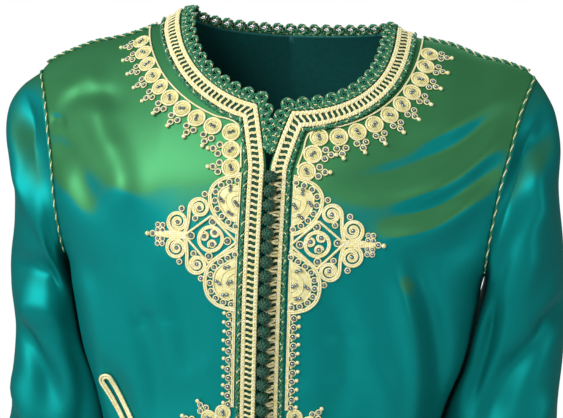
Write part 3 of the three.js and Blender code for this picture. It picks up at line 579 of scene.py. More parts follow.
def panelGrid(face, side):
    # rows from the shoulder seam down, which keep its curve less and less; columns from the neck edge out
    crest = (np.arange(cloth["crest"]) / cloth["crest"]) ** 2
    last = len(armholeShares) + len(sideHeights) - 2
    row = np.concatenate([crest, np.linspace(1, last, (last - 1) * cloth["down"] + 1)])[:, None]
    share = np.sin(np.linspace(0, np.pi / 2, cloth["across"]))[None]
    (x1, z1), (x2, z2) = innerEdge(face, side, row), outerEdge(side, row)
    bow = shoulderAt[side["name"]](share) - mix(side["neckTop"], -side["drop"], share)
    return mix(x1, x2, share), mix(z1, z2, share) + bow * readSteps(bowShares, row)


def hangPanel(face, panelSides):
    parts = []
    for side in panelSides:
        x, z = panelGrid(face, side)
        flip = (side["sign"] < 0) != (face == "front")
        parts.append(gridPart(bodyPoint(face, x, z), np.stack([x, z], -1), flip=flip))
    return parts


sleeve = {
    "roundRow": 5,  # the row by which it has left the armhole's shape for its own
    "dropFades": (60, 200),
    "tuckFrom": (236, 300),
    "foldGuard": (0.35, 0.85),  # folds fade towards its underside
}
armholeShare = column({"z": list(range(len(armholeShares))), "share": armholeShares}, "share")
sleeveOf = {key: column(sleeveRows, key) for key in ("right", "left", "outZ", "inZ", "depth", "y")}


def armholeMark(side, turn):
    # where a sleeve's line starts on the armhole: its share along, across, and what is left over
    around = turn / np.pi * 10
    inFront = around <= 10
    share = armholeShare(np.where(inFront, around, 20 - around))
    x = side["sign"] * armholeX(share)
    z = mix(-side["drop"], form["underarm"], share)
    point = np.where(inFront[:, None], bodyPoint("front", x, z), bodyPoint("back", x, z))
    top = np.array([side["sign"] * form["shoulderHalf"], 0, -side["drop"]])
    bottom = np.array([side["sign"] * float(armholeX(1.0)), 0, form["underarm"]])
    middle = (top + bottom) / 2
    axis = top - middle
    along = (point - middle) @ axis / (axis @ axis)
    rest = point - middle - along[:, None] * axis
    rest[:, 1] = 0
    return along, -point[:, 1] / form["armholeDepth"], rest


def sleevePoints(side, turn, ring):
    along0, across0, rest = armholeMark(side, turn)
    ring = ring[:, None]
    share = smooth(ring, 0, sleeve["roundRow"])
    start = ring.clip(0, 1)
    outX, outZ, inZ, depth, y = (sleeveOf[key](ring) for key in (side["name"], "outZ", "inZ", "depth", "y"))
    drop = (form["armholeDepth"] - side["drop"]) * (1 - smooth(-outZ, *sleeve["dropFades"]))
    lower = smooth(-inZ, *sleeve["tuckFrom"])
    tuck = mix(form["headClear"], -form["sleeveTuck"], lower) * start
    inX = halfWidth(np.minimum(inZ, form["underarm"])) + tuck
    outer = np.stack([side["sign"] * outX, y, outZ + drop], -1)
    inner = np.stack([side["sign"] * inX, y, inZ], -1)
    centre = (outer + inner) / 2
    along = mix(along0, signedPower(np.cos(turn), form["sleeveRound"]), share)
    across = mix(across0, signedPower(np.sin(turn), form["sleeveRound"]), share)
    point = centre + (outer - centre) * along[..., None]
    point[..., 1] -= across * depth
    point += rest * (1 - share)[..., None]
    out = point - centre
    out[..., 2] = 0
    guard = 1 - smooth(-np.cos(turn), *sleeve["foldGuard"])
    lift = foldLift(folds[side["name"]], np.degrees(turn)[None], point[..., 2]) * guard * start
    point += unit(out) * lift[..., None]
    # the body's side keeps its room
    px, py, pz = (point[..., i] for i in range(3))
    share = ((pz + side["drop"]) / (form["underarm"] + side["drop"])).clip(0, 1)
    depthHere = np.where(py < 0, depthOf["front"](pz), depthOf["back"](pz))
    beside = (1 - (np.abs(py) / depthHere).clip(0, 1) ** form["bodyRound"]) ** (1 / form["bodyRound"])
    flutes = form["fluteDepth"] * smooth(-pz, -form["fluteTop"], -form["hem"])
    below = halfWidth(pz) * beside + flutes + form["sleeveClear"]
    least = np.where(pz > form["underarm"], armholeX(share) + 4 * form["seamGap"] * start, below)
    point[..., 0] = side["sign"] * np.maximum(np.abs(px), np.where(start > 0, least, 0))
    return point


def hangSleeve(side):
    turn = np.linspace(0, 2 * np.pi, cloth["round"] + 1)
    ring = np.linspace(0, cuffRow, cuffRow * cloth["along"] + 1)
    points = sleevePoints(side, turn, ring)
    points[:, -1] = points[:, 0]
    uv = np.stack(np.broadcast_arrays(turn[None] * 70, -ring[:, None] * 45), -1)
    return [gridPart(points, uv, flip=side["sign"] < 0)]


def finishCloth(piece):
    # the halves of the back, and a sleeve's first and last column, become one surface
    work = bmesh.new()
    work.from_mesh(piece.data)
    bmesh.ops.remove_doubles(work, verts=work.verts, dist=0.02 * mm)
    work.to_mesh(piece.data)
    work.free()
    piece.data.shade_smooth()
    wall = piece.modifiers.new("thickness", "SOLIDIFY")
    wall.thickness = cloth["thickness"] * mm
    wall.offset = -1
    wall.material_offset = 1
    return piece


def hangCloth(node, parts, looks):
    piece = finishCloth(makePiece("satin_" + node, parts, looks, [node]))


clothLooks = (satinFace, satinBack)
sleeveLooks = (satinSleeveShaded, satinBack)
hangCloth("back", hangPanel("back", sides.values()), clothLooks)
for word, side in sides.items():
    hangCloth("front_" + word, hangPanel("front", [side]), clothLooks)
    hangCloth("sleeve_" + word, hangSleeve(side), sleeveLooks)


def layPieces(name, lay, node, words=("right", "left")):
    for word in words:
        makePiece(name + word, lay(word), trimLooks, [node + word])


# lines that braid, cords and lace follow: how many points each has, and how far the mitre at the slit's
# corner fans out
railPoints = {"neck": 180, "front": 541, "backHalf": 160, "mitre": 32}
slitCorner = railPoints["neck"] - 1


def edgeRail(face, side=None):
    # a panel's edge from the shoulder down (the back's from shoulder to shoulder), and the way into the cloth
    if face == "back":
        row = np.linspace(0, neckSteps, railPoints["backHalf"])
        halves = [innerEdge("back", half, row) for half in sides.values()]
        x, z = (np.concatenate([halves[0][i], halves[1][i][-2::-1]]) for i in range(2))
        runs = [slice(0, len(x))]
        sign = -1
    else:
        hem = neckSteps + slitSteps + len(frontHeights) - 1
        neck = np.linspace(0, neckSteps, railPoints["neck"])
        row = np.concatenate([neck, np.linspace(neckSteps, hem, railPoints["front"])[1:]])
        x, z = innerEdge("front", side, row)
        runs = [slice(0, slitCorner + 1), slice(slitCorner, None)]
        sign = side["sign"]
    way = np.zeros((len(x), 2))
    ends = []
    for run in runs:
        along = unit(np.stack([np.gradient(x[run]), np.gradient(z[run])], -1))
        way[run] = np.stack([-along[:, 1], along[:, 0]], -1) * sign
        ends += [way[run][0].copy(), way[run][-1].copy()]
    if len(runs) > 1:
        mitre = (ends[1] + ends[2]) / (1 + ends[1] @ ends[2])
        away = runLength(np.stack([x, z], -1))
        near = (1 - np.abs(away - away[slitCorner]) / railPoints["mitre"]).clip(0, 1)[:, None]
        way = mix(way, mitre, near)
    rail = {"face": face, "x": x, "z": z, "wayX": way[:, 0], "wayZ": way[:, 1]}
    rail["length"] = np.arange(len(x)) * 1.0
    spots, _ = layOn(face, *railSpot(rail, rail["length"], 12))
    rail["length"] = runLength(spots)
    return rail


def readRail(rail, length, s):
    return (np.interp(s, length, rail[key]) for key in ("x", "z", "wayX", "wayZ"))


def railSpot(rail, s, inwards):
    # the flat point at length s along a rail, that far into the cloth; ends follow the shoulder's slope
    x0, z0, wayX, wayZ = readRail(rail, rail["length"], s)
    x = x0 + wayX * inwards
    near = 1 - smooth(-z0, 0, 35)
    return x, z0 + wayZ * inwards + near * (shoulderLine(x) - shoulderLine(x0))


def railLine(rail, s, inwards, lift):
    return layOn(rail["face"], *railSpot(rail, s, inwards), lift)


def plies(centres, outs, spread, pitch, count):
    # lines that wind round a centre line
    run = unit(np.gradient(centres, axis=-2))
    sideways = unit(np.cross(run, outs))
    out = np.cross(sideways, run)
    steps = np.linalg.norm(np.diff(centres, axis=-2), axis=-1)
    length = np.concatenate([np.zeros(steps.shape[:-1] + (1,)), np.cumsum(steps, axis=-1)], -1)
    turns = [2 * np.pi * (length / pitch + k / count) for k in range(count)]
    wound = [np.cos(t)[..., None] * out + np.sin(t)[..., None] * sideways for t in turns]
    return [(centres + spread * way, out) for way in wound]


def twistedCord(centres, outs, radius, pitch, slots, fine=0.62):
    # plies of these slots; a gold ply lies finer and a little proud between the green ones
    parts = []
    for (line, out), slot in zip(plies(centres, outs, radius * 0.5, pitch, len(slots)), slots):
        size = radius * (fine if slot == goldSlot else 0.95) * 0.56
        parts.append(tubePart(line, out, size, 5, slot=slot))
    return parts


def beads(at, outs, radius, slot=beadSlot, corners=8, rings=6, tall=0.85):
    # round beads sitting at points, their poles along outs
    turn = np.linspace(0.06, np.pi - 0.06, rings)
    at, outs = np.broadcast_arrays(np.asarray(at, float), np.asarray(outs, float))
    centres = at[..., None, :] - outs[..., None, :] * (radius * tall * np.cos(turn))[:, None]
    # a fixed way that no bead's pole lies along, to set out its corners from
    across = np.broadcast_to(np.cross(outs, np.array([0.31, 0.2, 0.93]))[..., None, :], centres.shape)
    return tubePart(centres, across, radius * np.sin(turn), corners, slot=slot)


def hoops(at, along, outward, outs, radius, thick, corners=5, count=14):
    # cord rings lying flat at points, in the plane of along and outward
    turn = 2 * np.pi * np.arange(count) / count
    ring = np.cos(turn)[:, None] * along[..., None, :] + np.sin(turn)[:, None] * outward[..., None, :]
    centres = at[..., None, :] + radius * ring
    outs = np.broadcast_to(outs[..., None, :], centres.shape)
    return tubePart(centres, outs, thick, corners, closed=True, slot=goldSlot)


def groundAt(face, x, z, wayX, wayZ):
    # the cloth at flat points, and unit vectors along, outwards (the given flat way) and out of the cloth
    at, out = layOn(face, x, z)
    ahead = layOn(face, x + wayX, z + wayZ)[0] - at
    outward = unit(ahead - out * (ahead * out).sum(-1, keepdims=True))
    return {"at": at, "along": np.cross(outward, out), "outward": outward, "out": out}


def spotOn(ground, a, b, lift):
    # points a along and b outwards from each ground point: one row of them for each ground point
    a, b, lift = np.broadcast_arrays(*(np.asarray(v, float) for v in (a, b, lift)))
    extra = (1,) * a.ndim
    vec = {k: v.reshape(v.shape[:-1] + extra + (3,)) for k, v in ground.items()}
    a, b, lift = a[..., None], b[..., None], lift[..., None]
    return vec["at"] + vec["along"] * a + vec["outward"] * b + vec["out"] * lift


def outOf(ground, points):
    out = ground["out"]
    extra = (1,) * (points.ndim - out.ndim)
    return np.broadcast_to(out.reshape(out.shape[:-1] + extra + (3,)), points.shape)


def tubeOn(ground, line, radius, corners, **kind):
    return tubePart(line, outOf(ground, line), radius, corners, **kind)


def beadsOn(ground, at, radius, **kind):
    return beads(at, outOf(ground, at), radius, **kind)


rails = {word: edgeRail("front", side) for word, side in sides.items()}
rails["back"] = edgeRail("back")
edges = tuple(rails)


# braid: two flat plaits of gold thread joined by a ladder over a green ground
braid = {
    "bars": (3.3, 13.0),
    "swing": 1.2,
    "strand": 1.0,
    "strandLift": 2.1,
    "plait": 9.0,
    "rungs": 5.0,
    "rungFrom": 4.6,
    "rungTo": 11.7,
    "rungThick": 0.6,
    "rungLift": 1.9,
    "ground": (1.2, 14.9),
    "groundStep": 2.5,
    "groundLift": 0.9,
    "arch": 0.5,  # how much further each of them stands out at its middle
    "step": 1.15,
}


def layBraid(word):
    rail = rails[word]
    total = rail["length"][-1]
    arch = braid["arch"]
    s = np.linspace(0, total, int(total / braid["step"]))
    across = np.linspace(*braid["ground"], 6)
    coarse = np.linspace(0, total, int(total / braid["groundStep"]))
    lift = braid["groundLift"] + arch * np.sin(np.linspace(0, np.pi, 6))
    face, _ = railLine(rail, coarse[:, None], across[None], lift[None])
    uv = np.stack(np.broadcast_arrays(across[None], coarse[:, None]), -1)
    parts = [gridPart(face, uv, flip=(word == "right"), slot=groundSlot)]
    for k, bar in enumerate(braid["bars"]):
        for strand in range(3):
            turn = 2 * np.pi * (s / braid["plait"] + strand / 3 + 0.31 * k)
            lift = braid["strandLift"] + arch * np.sin(2 * turn)
            line, outs = railLine(rail, s, bar + braid["swing"] * np.sin(turn), lift)
            parts.append(tubePart(line, outs, braid["strand"], 6, flat=0.8, slot=goldSlot))
    rung = np.arange(braid["rungs"] / 2, total, braid["rungs"])[:, None]
    u = np.linspace(0, 1, 8)[None]
    inwards = mix(braid["rungFrom"], braid["rungTo"], u)
    lift = braid["rungLift"] + arch * np.sin(np.pi * u) + 0 * rung
    for k in (-1, 1):
        sway = 0.5 * k + 0.6 * np.sin(2 * np.pi * u)
        line, outs = railLine(rail, rung + sway, inwards, lift)
        parts.append(tubePart(line, outs, braid["rungThick"], 5, slot=goldSlot))
    return parts


layPieces("gold_braid_", layBraid, "braid_", edges)


# twisted cord beside the braid
sideCord = {
    "at": 17.2,
    "radius": 1.9,
    "pitch": 9.5,
    "step": 1.3,
    "hook": 10.6,
    "hookLong": 5.2,
    "hookThick": 0.55,
    "hookFrom": 15.4,
    "hookReach": 2.2,
    "hookLift": 2.6,
}


def layCord(word):
    rail = rails[word]
    total = rail["length"][-1]
    s = np.linspace(0, total, int(total / sideCord["step"]))
    centres, outs = railLine(rail, s, sideCord["at"], 0.5 + sideCord["radius"])
    parts = twistedCord(centres, outs, sideCord["radius"], sideCord["pitch"], (cordSlot, cordSlot))
    # short hooks of gold thread reach over it from the braid
    hook = np.arange(sideCord["hook"] / 2, total, sideCord["hook"])[:, None]
    u = np.linspace(0, 1, 7)[None]
    reach = sideCord["hookFrom"] + sideCord["hookReach"] * np.sin(np.pi * u * 0.9) + 0 * hook
    lift = sideCord["hookLift"] + 0.9 * np.sin(np.pi * u) + 0 * hook
    centres, outs = railLine(rail, hook + sideCord["hookLong"] * (u - 0.5), reach, lift)
    parts.append(tubePart(centres, outs, sideCord["hookThick"], 4, slot=goldSlot))
    return parts


layPieces("twisted_cord_", layCord, "cord_", edges)


# curves and small shapes for the cord-work
def smoothLine(knots, step=1.2):
    # an even curve through flat points
    p = np.array(knots, float)
    p = np.concatenate([[2 * p[0] - p[1]], p, [2 * p[-1] - p[-2]]])
    runs = len(p) - 3
    t = np.linspace(0, runs, runs * 16 + 1)
    i = np.minimum(t.astype(int), runs - 1)
    f = (t - i)[:, None]
    a, b, c, d = (p[i + k] for k in range(4))
    line = b + 0.5 * f * (c - a + f * (2 * a - 5 * b + 4 * c - d + f * (3 * b - a - 3 * c + d)))
    return evenly(line, step)


def evenly(line, step):
    length = runLength(line)
    at = np.linspace(0, length[-1], max(2, round(length[-1] / step)) + 1)
    return np.stack([np.interp(at, length, line[:, k]) for k in range(2)], -1)


def offsetLine(line, distance):
    run = unit(np.gradient(line, axis=0))
    return line + distance * np.stack([-run[:, 1], run[:, 0]], -1)


def arc(centre, radius, start, turns, shrink=0.0, count=20):
    # a circle, or a spiral that draws in by shrink each turn; a negative count of turns runs clockwise
    t = np.linspace(0, abs(turns), max(3, int(abs(turns) * count)) + 1)
    angle = math.radians(start) + 2 * np.pi * t * np.sign(turns)
    r = radius - shrink * t
    return np.stack([centre[0] + r * np.cos(angle), centre[1] + r * np.sin(angle)], -1)


def cordOn(side, line, radius, lift=None, closed=False, slot=goldSlot):
    # a cord sewn along a flat line on one front; the line's first number counts from the centre front
    line = np.asarray(line, float)
    lift = 0.2 + radius if lift is None else lift
    centres, outs = layOn("front", side["sign"] * line[:, 0], line[:, 1], lift)
    return tubePart(centres, outs, radius, 5, closed=closed, slot=slot)


def cordPair(side, line, apart, radius, lift=None):
    return [cordOn(side, offsetLine(line, way * apart / 2), radius, lift) for way in (-1, 1)]


def padOn(side, outer, inner, height, across):
    # a low pad of satin stitch between two flat lines of as many points
    u = np.linspace(0, 1, across)[None, :, None]
    flat = mix(np.asarray(outer)[:, None], np.asarray(inner)[:, None], u)
    lift = 0.3 + height * np.sin(np.pi * u[..., 0]) ** 0.6
    points, outs = layOn("front", side["sign"] * flat[..., 0], flat[..., 1], lift)
    return facing(points, outs, flat)


def facing(points, outs, uv):
    # satin stitch on a grid whose faces look the way that outs points
    across, down = points[:-1, 1:] - points[:-1, :-1], points[1:, :-1] - points[:-1, :-1]
    flip = (np.cross(across, down) * outs[:-1, :-1]).sum() < 0
    return gridPart(points, np.broadcast_to(uv, points.shape[:2] + (2,)), flip=flip, slot=padSlot)


def domes(ground, radius, height, around):
    # low round pads, one on each ground point
    turn = np.linspace(0, 2 * np.pi, around + 1)
    share = np.linspace(0.04, 1, 5)[:, None]
    parts = []
    for i in range(len(ground["at"])):
        one = {key: value[i] for key, value in ground.items()}
        lift = 0.25 + height * (1 - share**4)
        points = spotOn(one, radius * share * np.cos(turn), radius * share * np.sin(turn), lift)
        uv = np.stack(np.broadcast_arrays(turn * 5, radius * share), -1)
        parts.append(facing(points, np.broadcast_to(one["out"], points.shape), uv))
    return parts


def groundOn(side, spots, ways):
    spots, ways = np.atleast_2d(np.asarray(spots, float)), np.atleast_2d(np.asarray(ways, float))
    ways = np.broadcast_to(ways, spots.shape)
    sign = side["sign"]
    return groundAt("front", sign * spots[:, 0], spots[:, 1], sign * ways[:, 0], ways[:, 1])


def ringedBeads(ground, a=0, b=0, bead=1.6, ring=2.45, thick=0.62, lift=1.0):
    # beads in a ring of fine cord, at points beside each ground point
    at = spotOn(ground, a, b, lift)
    outs = outOf(ground, at)
    along, outward = (outOf({"out": ground[key]}, at) for key in ("along", "outward"))
    return [beads(at + outs * 0.5, outs, bead), hoops(at, along, outward, outs, ring, thick)]


def beadsAt(side, spots, **size):
    return ringedBeads(groundOn(side, spots, (1, 0)), **size)


def beadRow(side, line, pitch):
    spots = groundOn(side, evenly(line, pitch), (0, 1))
    return ringedBeads(spots, bead=1.5, ring=2.35, thick=0.6, lift=1.2)


def beadPairs(ground, angles, lift=2.0):
    # two beads side by side on each ground point, the line through them turned by an angle
    apart = np.array([-0.5, 0.5]) * 3.3
    a, b = np.cos(angles)[:, None] * apart, np.sin(angles)[:, None] * apart
    parts = []
    for i in range(len(angles)):
        one = {key: value[i] for key, value in ground.items()}
        at = spotOn(one, a[i], b[i], lift)
        parts.append(beadsOn(one, at, 1.65))
    return parts


def pairsAt(side, rows):
    rows = np.array(rows)
    return beadPairs(groundOn(side, rows[:, :2], (0, 1)), rows[:, 2], lift=2.6)


def coiledDiscs(ground, size):
    # a pad with a coil of cord on it, a rim of thicker cord and two beads, on each ground point
    parts = domes(ground, size["radius"], size["dome"], size["around"])
    turns = np.linspace(0, size["turns"], size["coilPoints"])
    r = size["radius"] - size["coilInset"] - size["coilPitch"] * turns
    coil = spotOn(ground, r * np.cos(2 * np.pi * turns), r * np.sin(2 * np.pi * turns), size["coilLift"])
    parts.append(tubeOn(ground, coil, size["coilCord"], 4, slot=padSlot))
    middle = spotOn(ground, 0, 0, size["rimLift"])
    ways = ground["along"], ground["outward"], ground["out"]
    kind = {"count": size["rimPoints"], "corners": size["rimCorners"]}
    parts.append(hoops(middle, *ways, size["radius"], size["rim"], **kind))
    first, turn = size["beadTurn"]
    return parts + beadPairs(ground, first + turn * np.arange(len(middle)))


# discs of coiled cord round the neck, each with a pendant of beads
disc = {
    "radius": 7.3,
    "dome": 0.9,
    "around": 20,
    "turns": 3.4,
    "coilPoints": 74,
    "coilInset": 1.5,
    "coilPitch": 1.45,
    "coilLift": 1.15,
    "coilCord": 0.7,
    "rim": 0.95,
    "rimLift": 1.1,
    "rimPoints": 24,
    "rimCorners": 6,
    "beadTurn": (0.5, 1.9),
    "pitch": 16.8,
    "edgeCord": 0.85,
    "edgeClear": 1.3,
    "pendant": ((3.9, 10.2), (-4.0, 10.9), (0.2, 15.6)),
    "tip": (0.0, 20.0),
}


def discSpots(word):
    # centres and outward ways: down the front, round the corner, and up along the neck to the shoulder
    side = sides[word]
    low, turn = np.array(side["discLow"], float), np.array(side["discTurn"], float)
    x, z = innerEdge("front", side, np.linspace(0, neckSteps, 200))
    edge = np.stack([np.abs(x), z], -1)
    share = np.linspace(0, 1, 200)[:, None] ** 1.3
    way = offsetLine(edge, 1) - edge
    way = way if way[100, 0] > 0 else -way
    neck = (edge + way * mix(side["discs"][0], side["discs"][1], share))[::-1]
    close = np.nonzero(np.hypot(*(neck - turn).T) < disc["pitch"] * 0.97)[0]
    neck = neck[close.max() + 1 :]
    hung = layOn("front", side["sign"] * neck[:, 0], neck[:, 1])[0]
    length = runLength(hung)
    room = shoulderLine(side["sign"] * neck[:, 0]) - neck[:, 1]
    last = length[room > 6][-1]
    at = np.arange(0, last, disc["pitch"])
    spots = np.stack([np.interp(at, length, neck[:, k]) for k in range(2)], -1)
    ways = np.stack([np.interp(at, length, way[::-1][-len(neck) :, k]) for k in range(2)], -1)
    front = np.array([low, (low + turn) / 2, turn])
    frontWays = np.array([(1, 0), (1, 0.02), (0.75, -0.66)])
    line = np.concatenate([front, neck[::6]])
    return np.concatenate([front, spots]), unit(np.concatenate([frontWays, ways])), line


def layDiscs(word):
    side = sides[word]
    spots, ways, line = discSpots(word)
    ground = groundOn(side, spots, ways)
    parts = coiledDiscs(ground, disc)
    # the disc at the corner has no pendant
    hanging = {key: value[np.arange(len(spots)) != 2] for key, value in ground.items()}
    a, b = np.array(disc["pendant"]).T
    parts += ringedBeads(hanging, a, b)
    tip = spotOn(hanging, *disc["tip"], 1.4)
    parts.append(beadsOn(hanging, tip, 2.0, slot=goldSlot))
    stem = spotOn(hanging, np.zeros(5), np.linspace(12, 19, 5), 0.8)
    parts.append(tubeOn(hanging, stem, 0.8, 4, slot=goldSlot))
    # a fine cord where the discs meet the plain satin
    curve, aside = smoothLine(line, step=3), disc["radius"] + disc["edgeClear"]
    near = evenly(offsetLine(curve, aside), 1.3)
    if np.abs(near[:, 0]).mean() > np.abs(line[:, 0]).mean():
        near = evenly(offsetLine(curve, -aside), 1.3)
    parts.append(cordOn(side, near, disc["edgeCord"]))
    return parts


layPieces("coiled_discs_", layDiscs, "neck_applique_")


# medallion of spirals, a framed circle and two beaded fans on each side of the chest; sizes are (out, height)
medallion = {
    "middle": -195.3,
    "circle": (45.2, -197, 10.9, 9.3),
    "diamond": ((68, -195.3), (45.6, -177.5), (22.8, -198.5), (46, -217.5)),
    "spirals": (
        ((74.2, -184.2), -90, 9.6, 4.4, 1.9, ((66, -194.4), (70, -194))),
        ((56.0, -171.6), 0, 8.8, 4.3, 1.8, ((68.5, -193.6), (66.3, -189), (65.1, -181))),
    ),
    "spiralBeads": ((52.2, -159.6), (71.5, -172.8), (59.4, -180.4)),
    "frame": ((44.1, -182.5), (62.3, -195.2), (30.8, -198), (46.2, -211.6)),
    "inside": ((50.9, -195.1), (42, -191.5), (43.6, -201.6)),
    "tips": ((96.2, -195.4),),
    "flowers": ((89.6, -189.8), (89.4, -201.4)),
    "tip": (100.8, -195.6),
    "stem": ((66, 1), (76, 1), (84, 0.9), (93.5, 0.35)),
    "fanAbove": ((22.4, -141.5), (28, -143.2), (35.5, -145.2), (42.8, -149.5), (47.2, -156.5), (47.4, -164.5),
                 (45.4, -171.5), (41, -178.5), (35, -184.4), (28, -188.2), (22.4, -190.6)),
    "fanBelow": ((22.4, -203.4), (26, -205.4), (33, -209.3), (40.5, -214), (46, -220.5), (48.5, -229),
                 (48.2, -238.5), (45, -246.5), (38.5, -252.3), (30, -255.2), (22.4, -256.2)),
    "pairsAbove": ((30.6, -153.6, 1.5), (37.7, -163.4, -0.8), (24.9, -166, -0.9), (29.8, -174.4, -0.5)),
    "pairsBelow": ((30.5, -219.8, 0.3), (37.4, -233.2, -0.6), (27.6, -232.6, 0.5), (31, -243.4, 0.2)),
    "inset": 4.2,
    "filled": 7.2,
    "filledEdge": 22.2,
    "beadPitch": 7.2,
    "middleX": 22.4,
    "cord": 0.85,
    "cordsApart": 1.7,
    "cordLift": 1.2,
    "padHeight": 1.3,
    "padCord": 0.75,
    "padCordLift": 1.1,
    "lines": (0.35, 0.62),  # how far in towards the middle the finer cords on the pad lie
    "lineCord": 0.55,
    "lineLift": 1.7,
}


def fillFan(side, filled, middle, pull, across):
    # satin stitch between a fan's inner line and the front edge, with a cord on that line
    edge = np.full(len(filled), medallion["filledEdge"])
    base = np.stack([edge, mix(filled[:, 1], middle, pull)], -1)
    cord = cordOn(side, evenly(filled, 1.3), medallion["padCord"], lift=medallion["padCordLift"])
    return [padOn(side, filled, base, medallion["padHeight"], across), cord]


def fanBorder(side, line):
    return cordPair(side, line, medallion["cordsApart"], medallion["cord"], medallion["cordLift"])


def layFan(side, border, pairs):
    line = smoothLine(border)
    middle = np.array([medallion["middleX"], line[:, 1].mean()])
    parts = fanBorder(side, line)
    half = len(line) // 2
    moved = offsetLine(line, 1)[half] - middle
    toward = 1 if np.hypot(*moved) < np.hypot(*(line[half] - middle)) else -1
    filled = offsetLine(line, toward * medallion["filled"])[5:-5]
    filled[:, 0] = filled[:, 0].clip(medallion["middleX"] + 0.2)
    parts += fillFan(side, filled, middle[1], 0.15, 9)
    for share in medallion["lines"]:
        inner = evenly(mix(filled, middle, share), 1.3)
        parts.append(cordOn(side, inner, medallion["lineCord"], medallion["lineLift"], slot=padSlot))
    parts += beadRow(side, offsetLine(line, toward * medallion["inset"])[3:-3], medallion["beadPitch"])
    return parts + pairsAt(side, pairs)


def layMedallion(word):
    side = sides[word]
    size = medallion
    middle = size["middle"]
    parts = layFan(side, size["fanAbove"], size["pairsAbove"])
    parts += layFan(side, size["fanBelow"], size["pairsBelow"])
    for radius in size["circle"][2:]:
        parts.append(cordOn(side, arc(size["circle"][:2], radius, 0, 1, count=30)[:-1], 0.85, closed=True))
    corners = np.array(size["diamond"])
    for start, end in zip(corners, np.roll(corners, -1, axis=0)):
        parts.append(cordOn(side, evenly(np.array([start, end]), 2.5), 1.1))
    for mirror in (1, -1):
        def turned(points):
            points = np.array(points, float)
            points[..., 1] = middle + mirror * (points[..., 1] - middle)
            return points

        for centre, start, radius, shrink, turns, lead in size["spirals"]:
            spiral = arc(centre, radius, start, turns, shrink, count=16)
            winding = smoothLine(np.concatenate([np.array(lead, float), spiral]), step=1.4)
            parts += cordPair(side, turned(winding), 1.6, 0.82)
            between = arc(centre, radius - shrink * 0.5, start, 1)
            parts.append(cordOn(side, turned(between), 0.7, slot=padSlot))
            parts += beadsAt(side, turned(centre), bead=1.7, ring=2.5)
        parts += beadsAt(side, turned(size["spiralBeads"]), bead=1.5, ring=2.2)
        for k in (0.8, 2.4):
            stem = [(x, middle + k * share) for x, share in size["stem"]]
            parts.append(cordOn(side, turned(smoothLine(stem)), 0.85))
    inside = size["inside"]
    if word == "left":
        inside = [(2 * size["circle"][0] - x, z) for x, z in inside]
    for spots, bead, ring in ((size["frame"], 1.9, 2.9), (inside, 1.7, 2.5), (size["tips"], 1.6, 2.3)):
        parts += beadsAt(side, spots, bead=bead, ring=ring)
    # a little scroll of cord round each bead in the circle, and four-beaded flowers on both sides of the tip
    centre = np.array(size["circle"][:2])
    for x, z in inside:
        heading = math.degrees(math.atan2(z - centre[1], x - centre[0]))
        parts.append(cordOn(side, arc((x, z), 3.9, heading + 70, 0.62, 1.2), 0.75, lift=1.0))
    for flower in size["flowers"]:
        parts.append(cordOn(side, arc(flower, 1.6, 0, 1, count=12)[:-1], 0.7, closed=True))
        petals = arc(flower, 3.0, 45, 1, count=4)[:4]
        parts += beadsAt(side, petals, bead=1.5, ring=2.0, thick=0.55)
    at, out = layOn("front", side["sign"] * size["tip"][0], size["tip"][1], 1.4)
    parts.append(beads(at, out, 2.1, slot=goldSlot))
    return parts


layPieces("spiral_medallion_", layMedallion, "medallion_")


# half-round of discs at the waist
waist = {
    "centre": (21.5, -384),
    "ringRadius": 36.7,
    "discs": 8,
    "spread": 75,
    "fan": 27.5,
    "beadPitch": 7.4,
    "pairs": ((30, -374, 0.4), (36.5, -384, 1.5), (30, -394, -0.4), (26, -384, 1.2)),
    "pendant": ((3.2, 8.8), (-3.2, 8.8), (0.0, 13.4)),
    "tip": 17.6,
    "radius": 6.3,
    "dome": 0.8,
    "around": 16,
    "turns": 2.6,
    "coilPoints": 52,
    "coilInset": 1.4,
    "coilPitch": 1.45,
    "coilLift": 1.05,
    "coilCord": 0.68,
    "rim": 0.9,
    "rimLift": 1.0,
    "rimPoints": 20,
    "rimCorners": 5,
    "beadTurn": (1.1, 2.3),
}


def layWaist(word):
    side = sides[word]
    angle = np.radians(np.linspace(-waist["spread"], waist["spread"], waist["discs"]))
    ways = np.stack([np.cos(angle), np.sin(angle)], -1)
    centre = np.array(waist["centre"])
    ground = groundOn(side, centre + waist["ringRadius"] * ways, ways)
    parts = coiledDiscs(ground, waist)
    hanging = {key: value[1:-1] for key, value in ground.items()}
    parts += ringedBeads(hanging, *np.array(waist["pendant"]).T, bead=1.5, ring=2.2)
    tip = spotOn(hanging, 0, waist["tip"], 1.3)
    parts.append(beadsOn(hanging, tip, 1.9, slot=goldSlot))

    def fanArc(inset, degrees, count):
        return arc(centre, waist["fan"] - inset, -degrees, 2 * degrees / 360, count=count)

    parts += fillFan(side, fanArc(medallion["filled"], 85, 70), centre[1], 0.2, 8)
    parts += fanBorder(side, fanArc(0, 86, 90))
    parts += beadRow(side, fanArc(medallion["inset"], 80, 60), waist["beadPitch"])
    return parts + pairsAt(side, waist["pairs"])


layPieces("waist_half_round_", layWaist, "waist_motif_")


# beaded picot border down the fronts
picotBorder = {
    "cords": {"right": (22.1, 23.6), "left": (23.1, 24.5)},
    "bead": {"right": 26.9, "left": 28.0},
    "ball": 4.4,
    "rise": 1.5,
    "pitch": 7.4,
    # where the cords start, and where beads start and end
    "runs": {"": (-140, -258, -343), "lower_": (-426, -430, -947)},
}


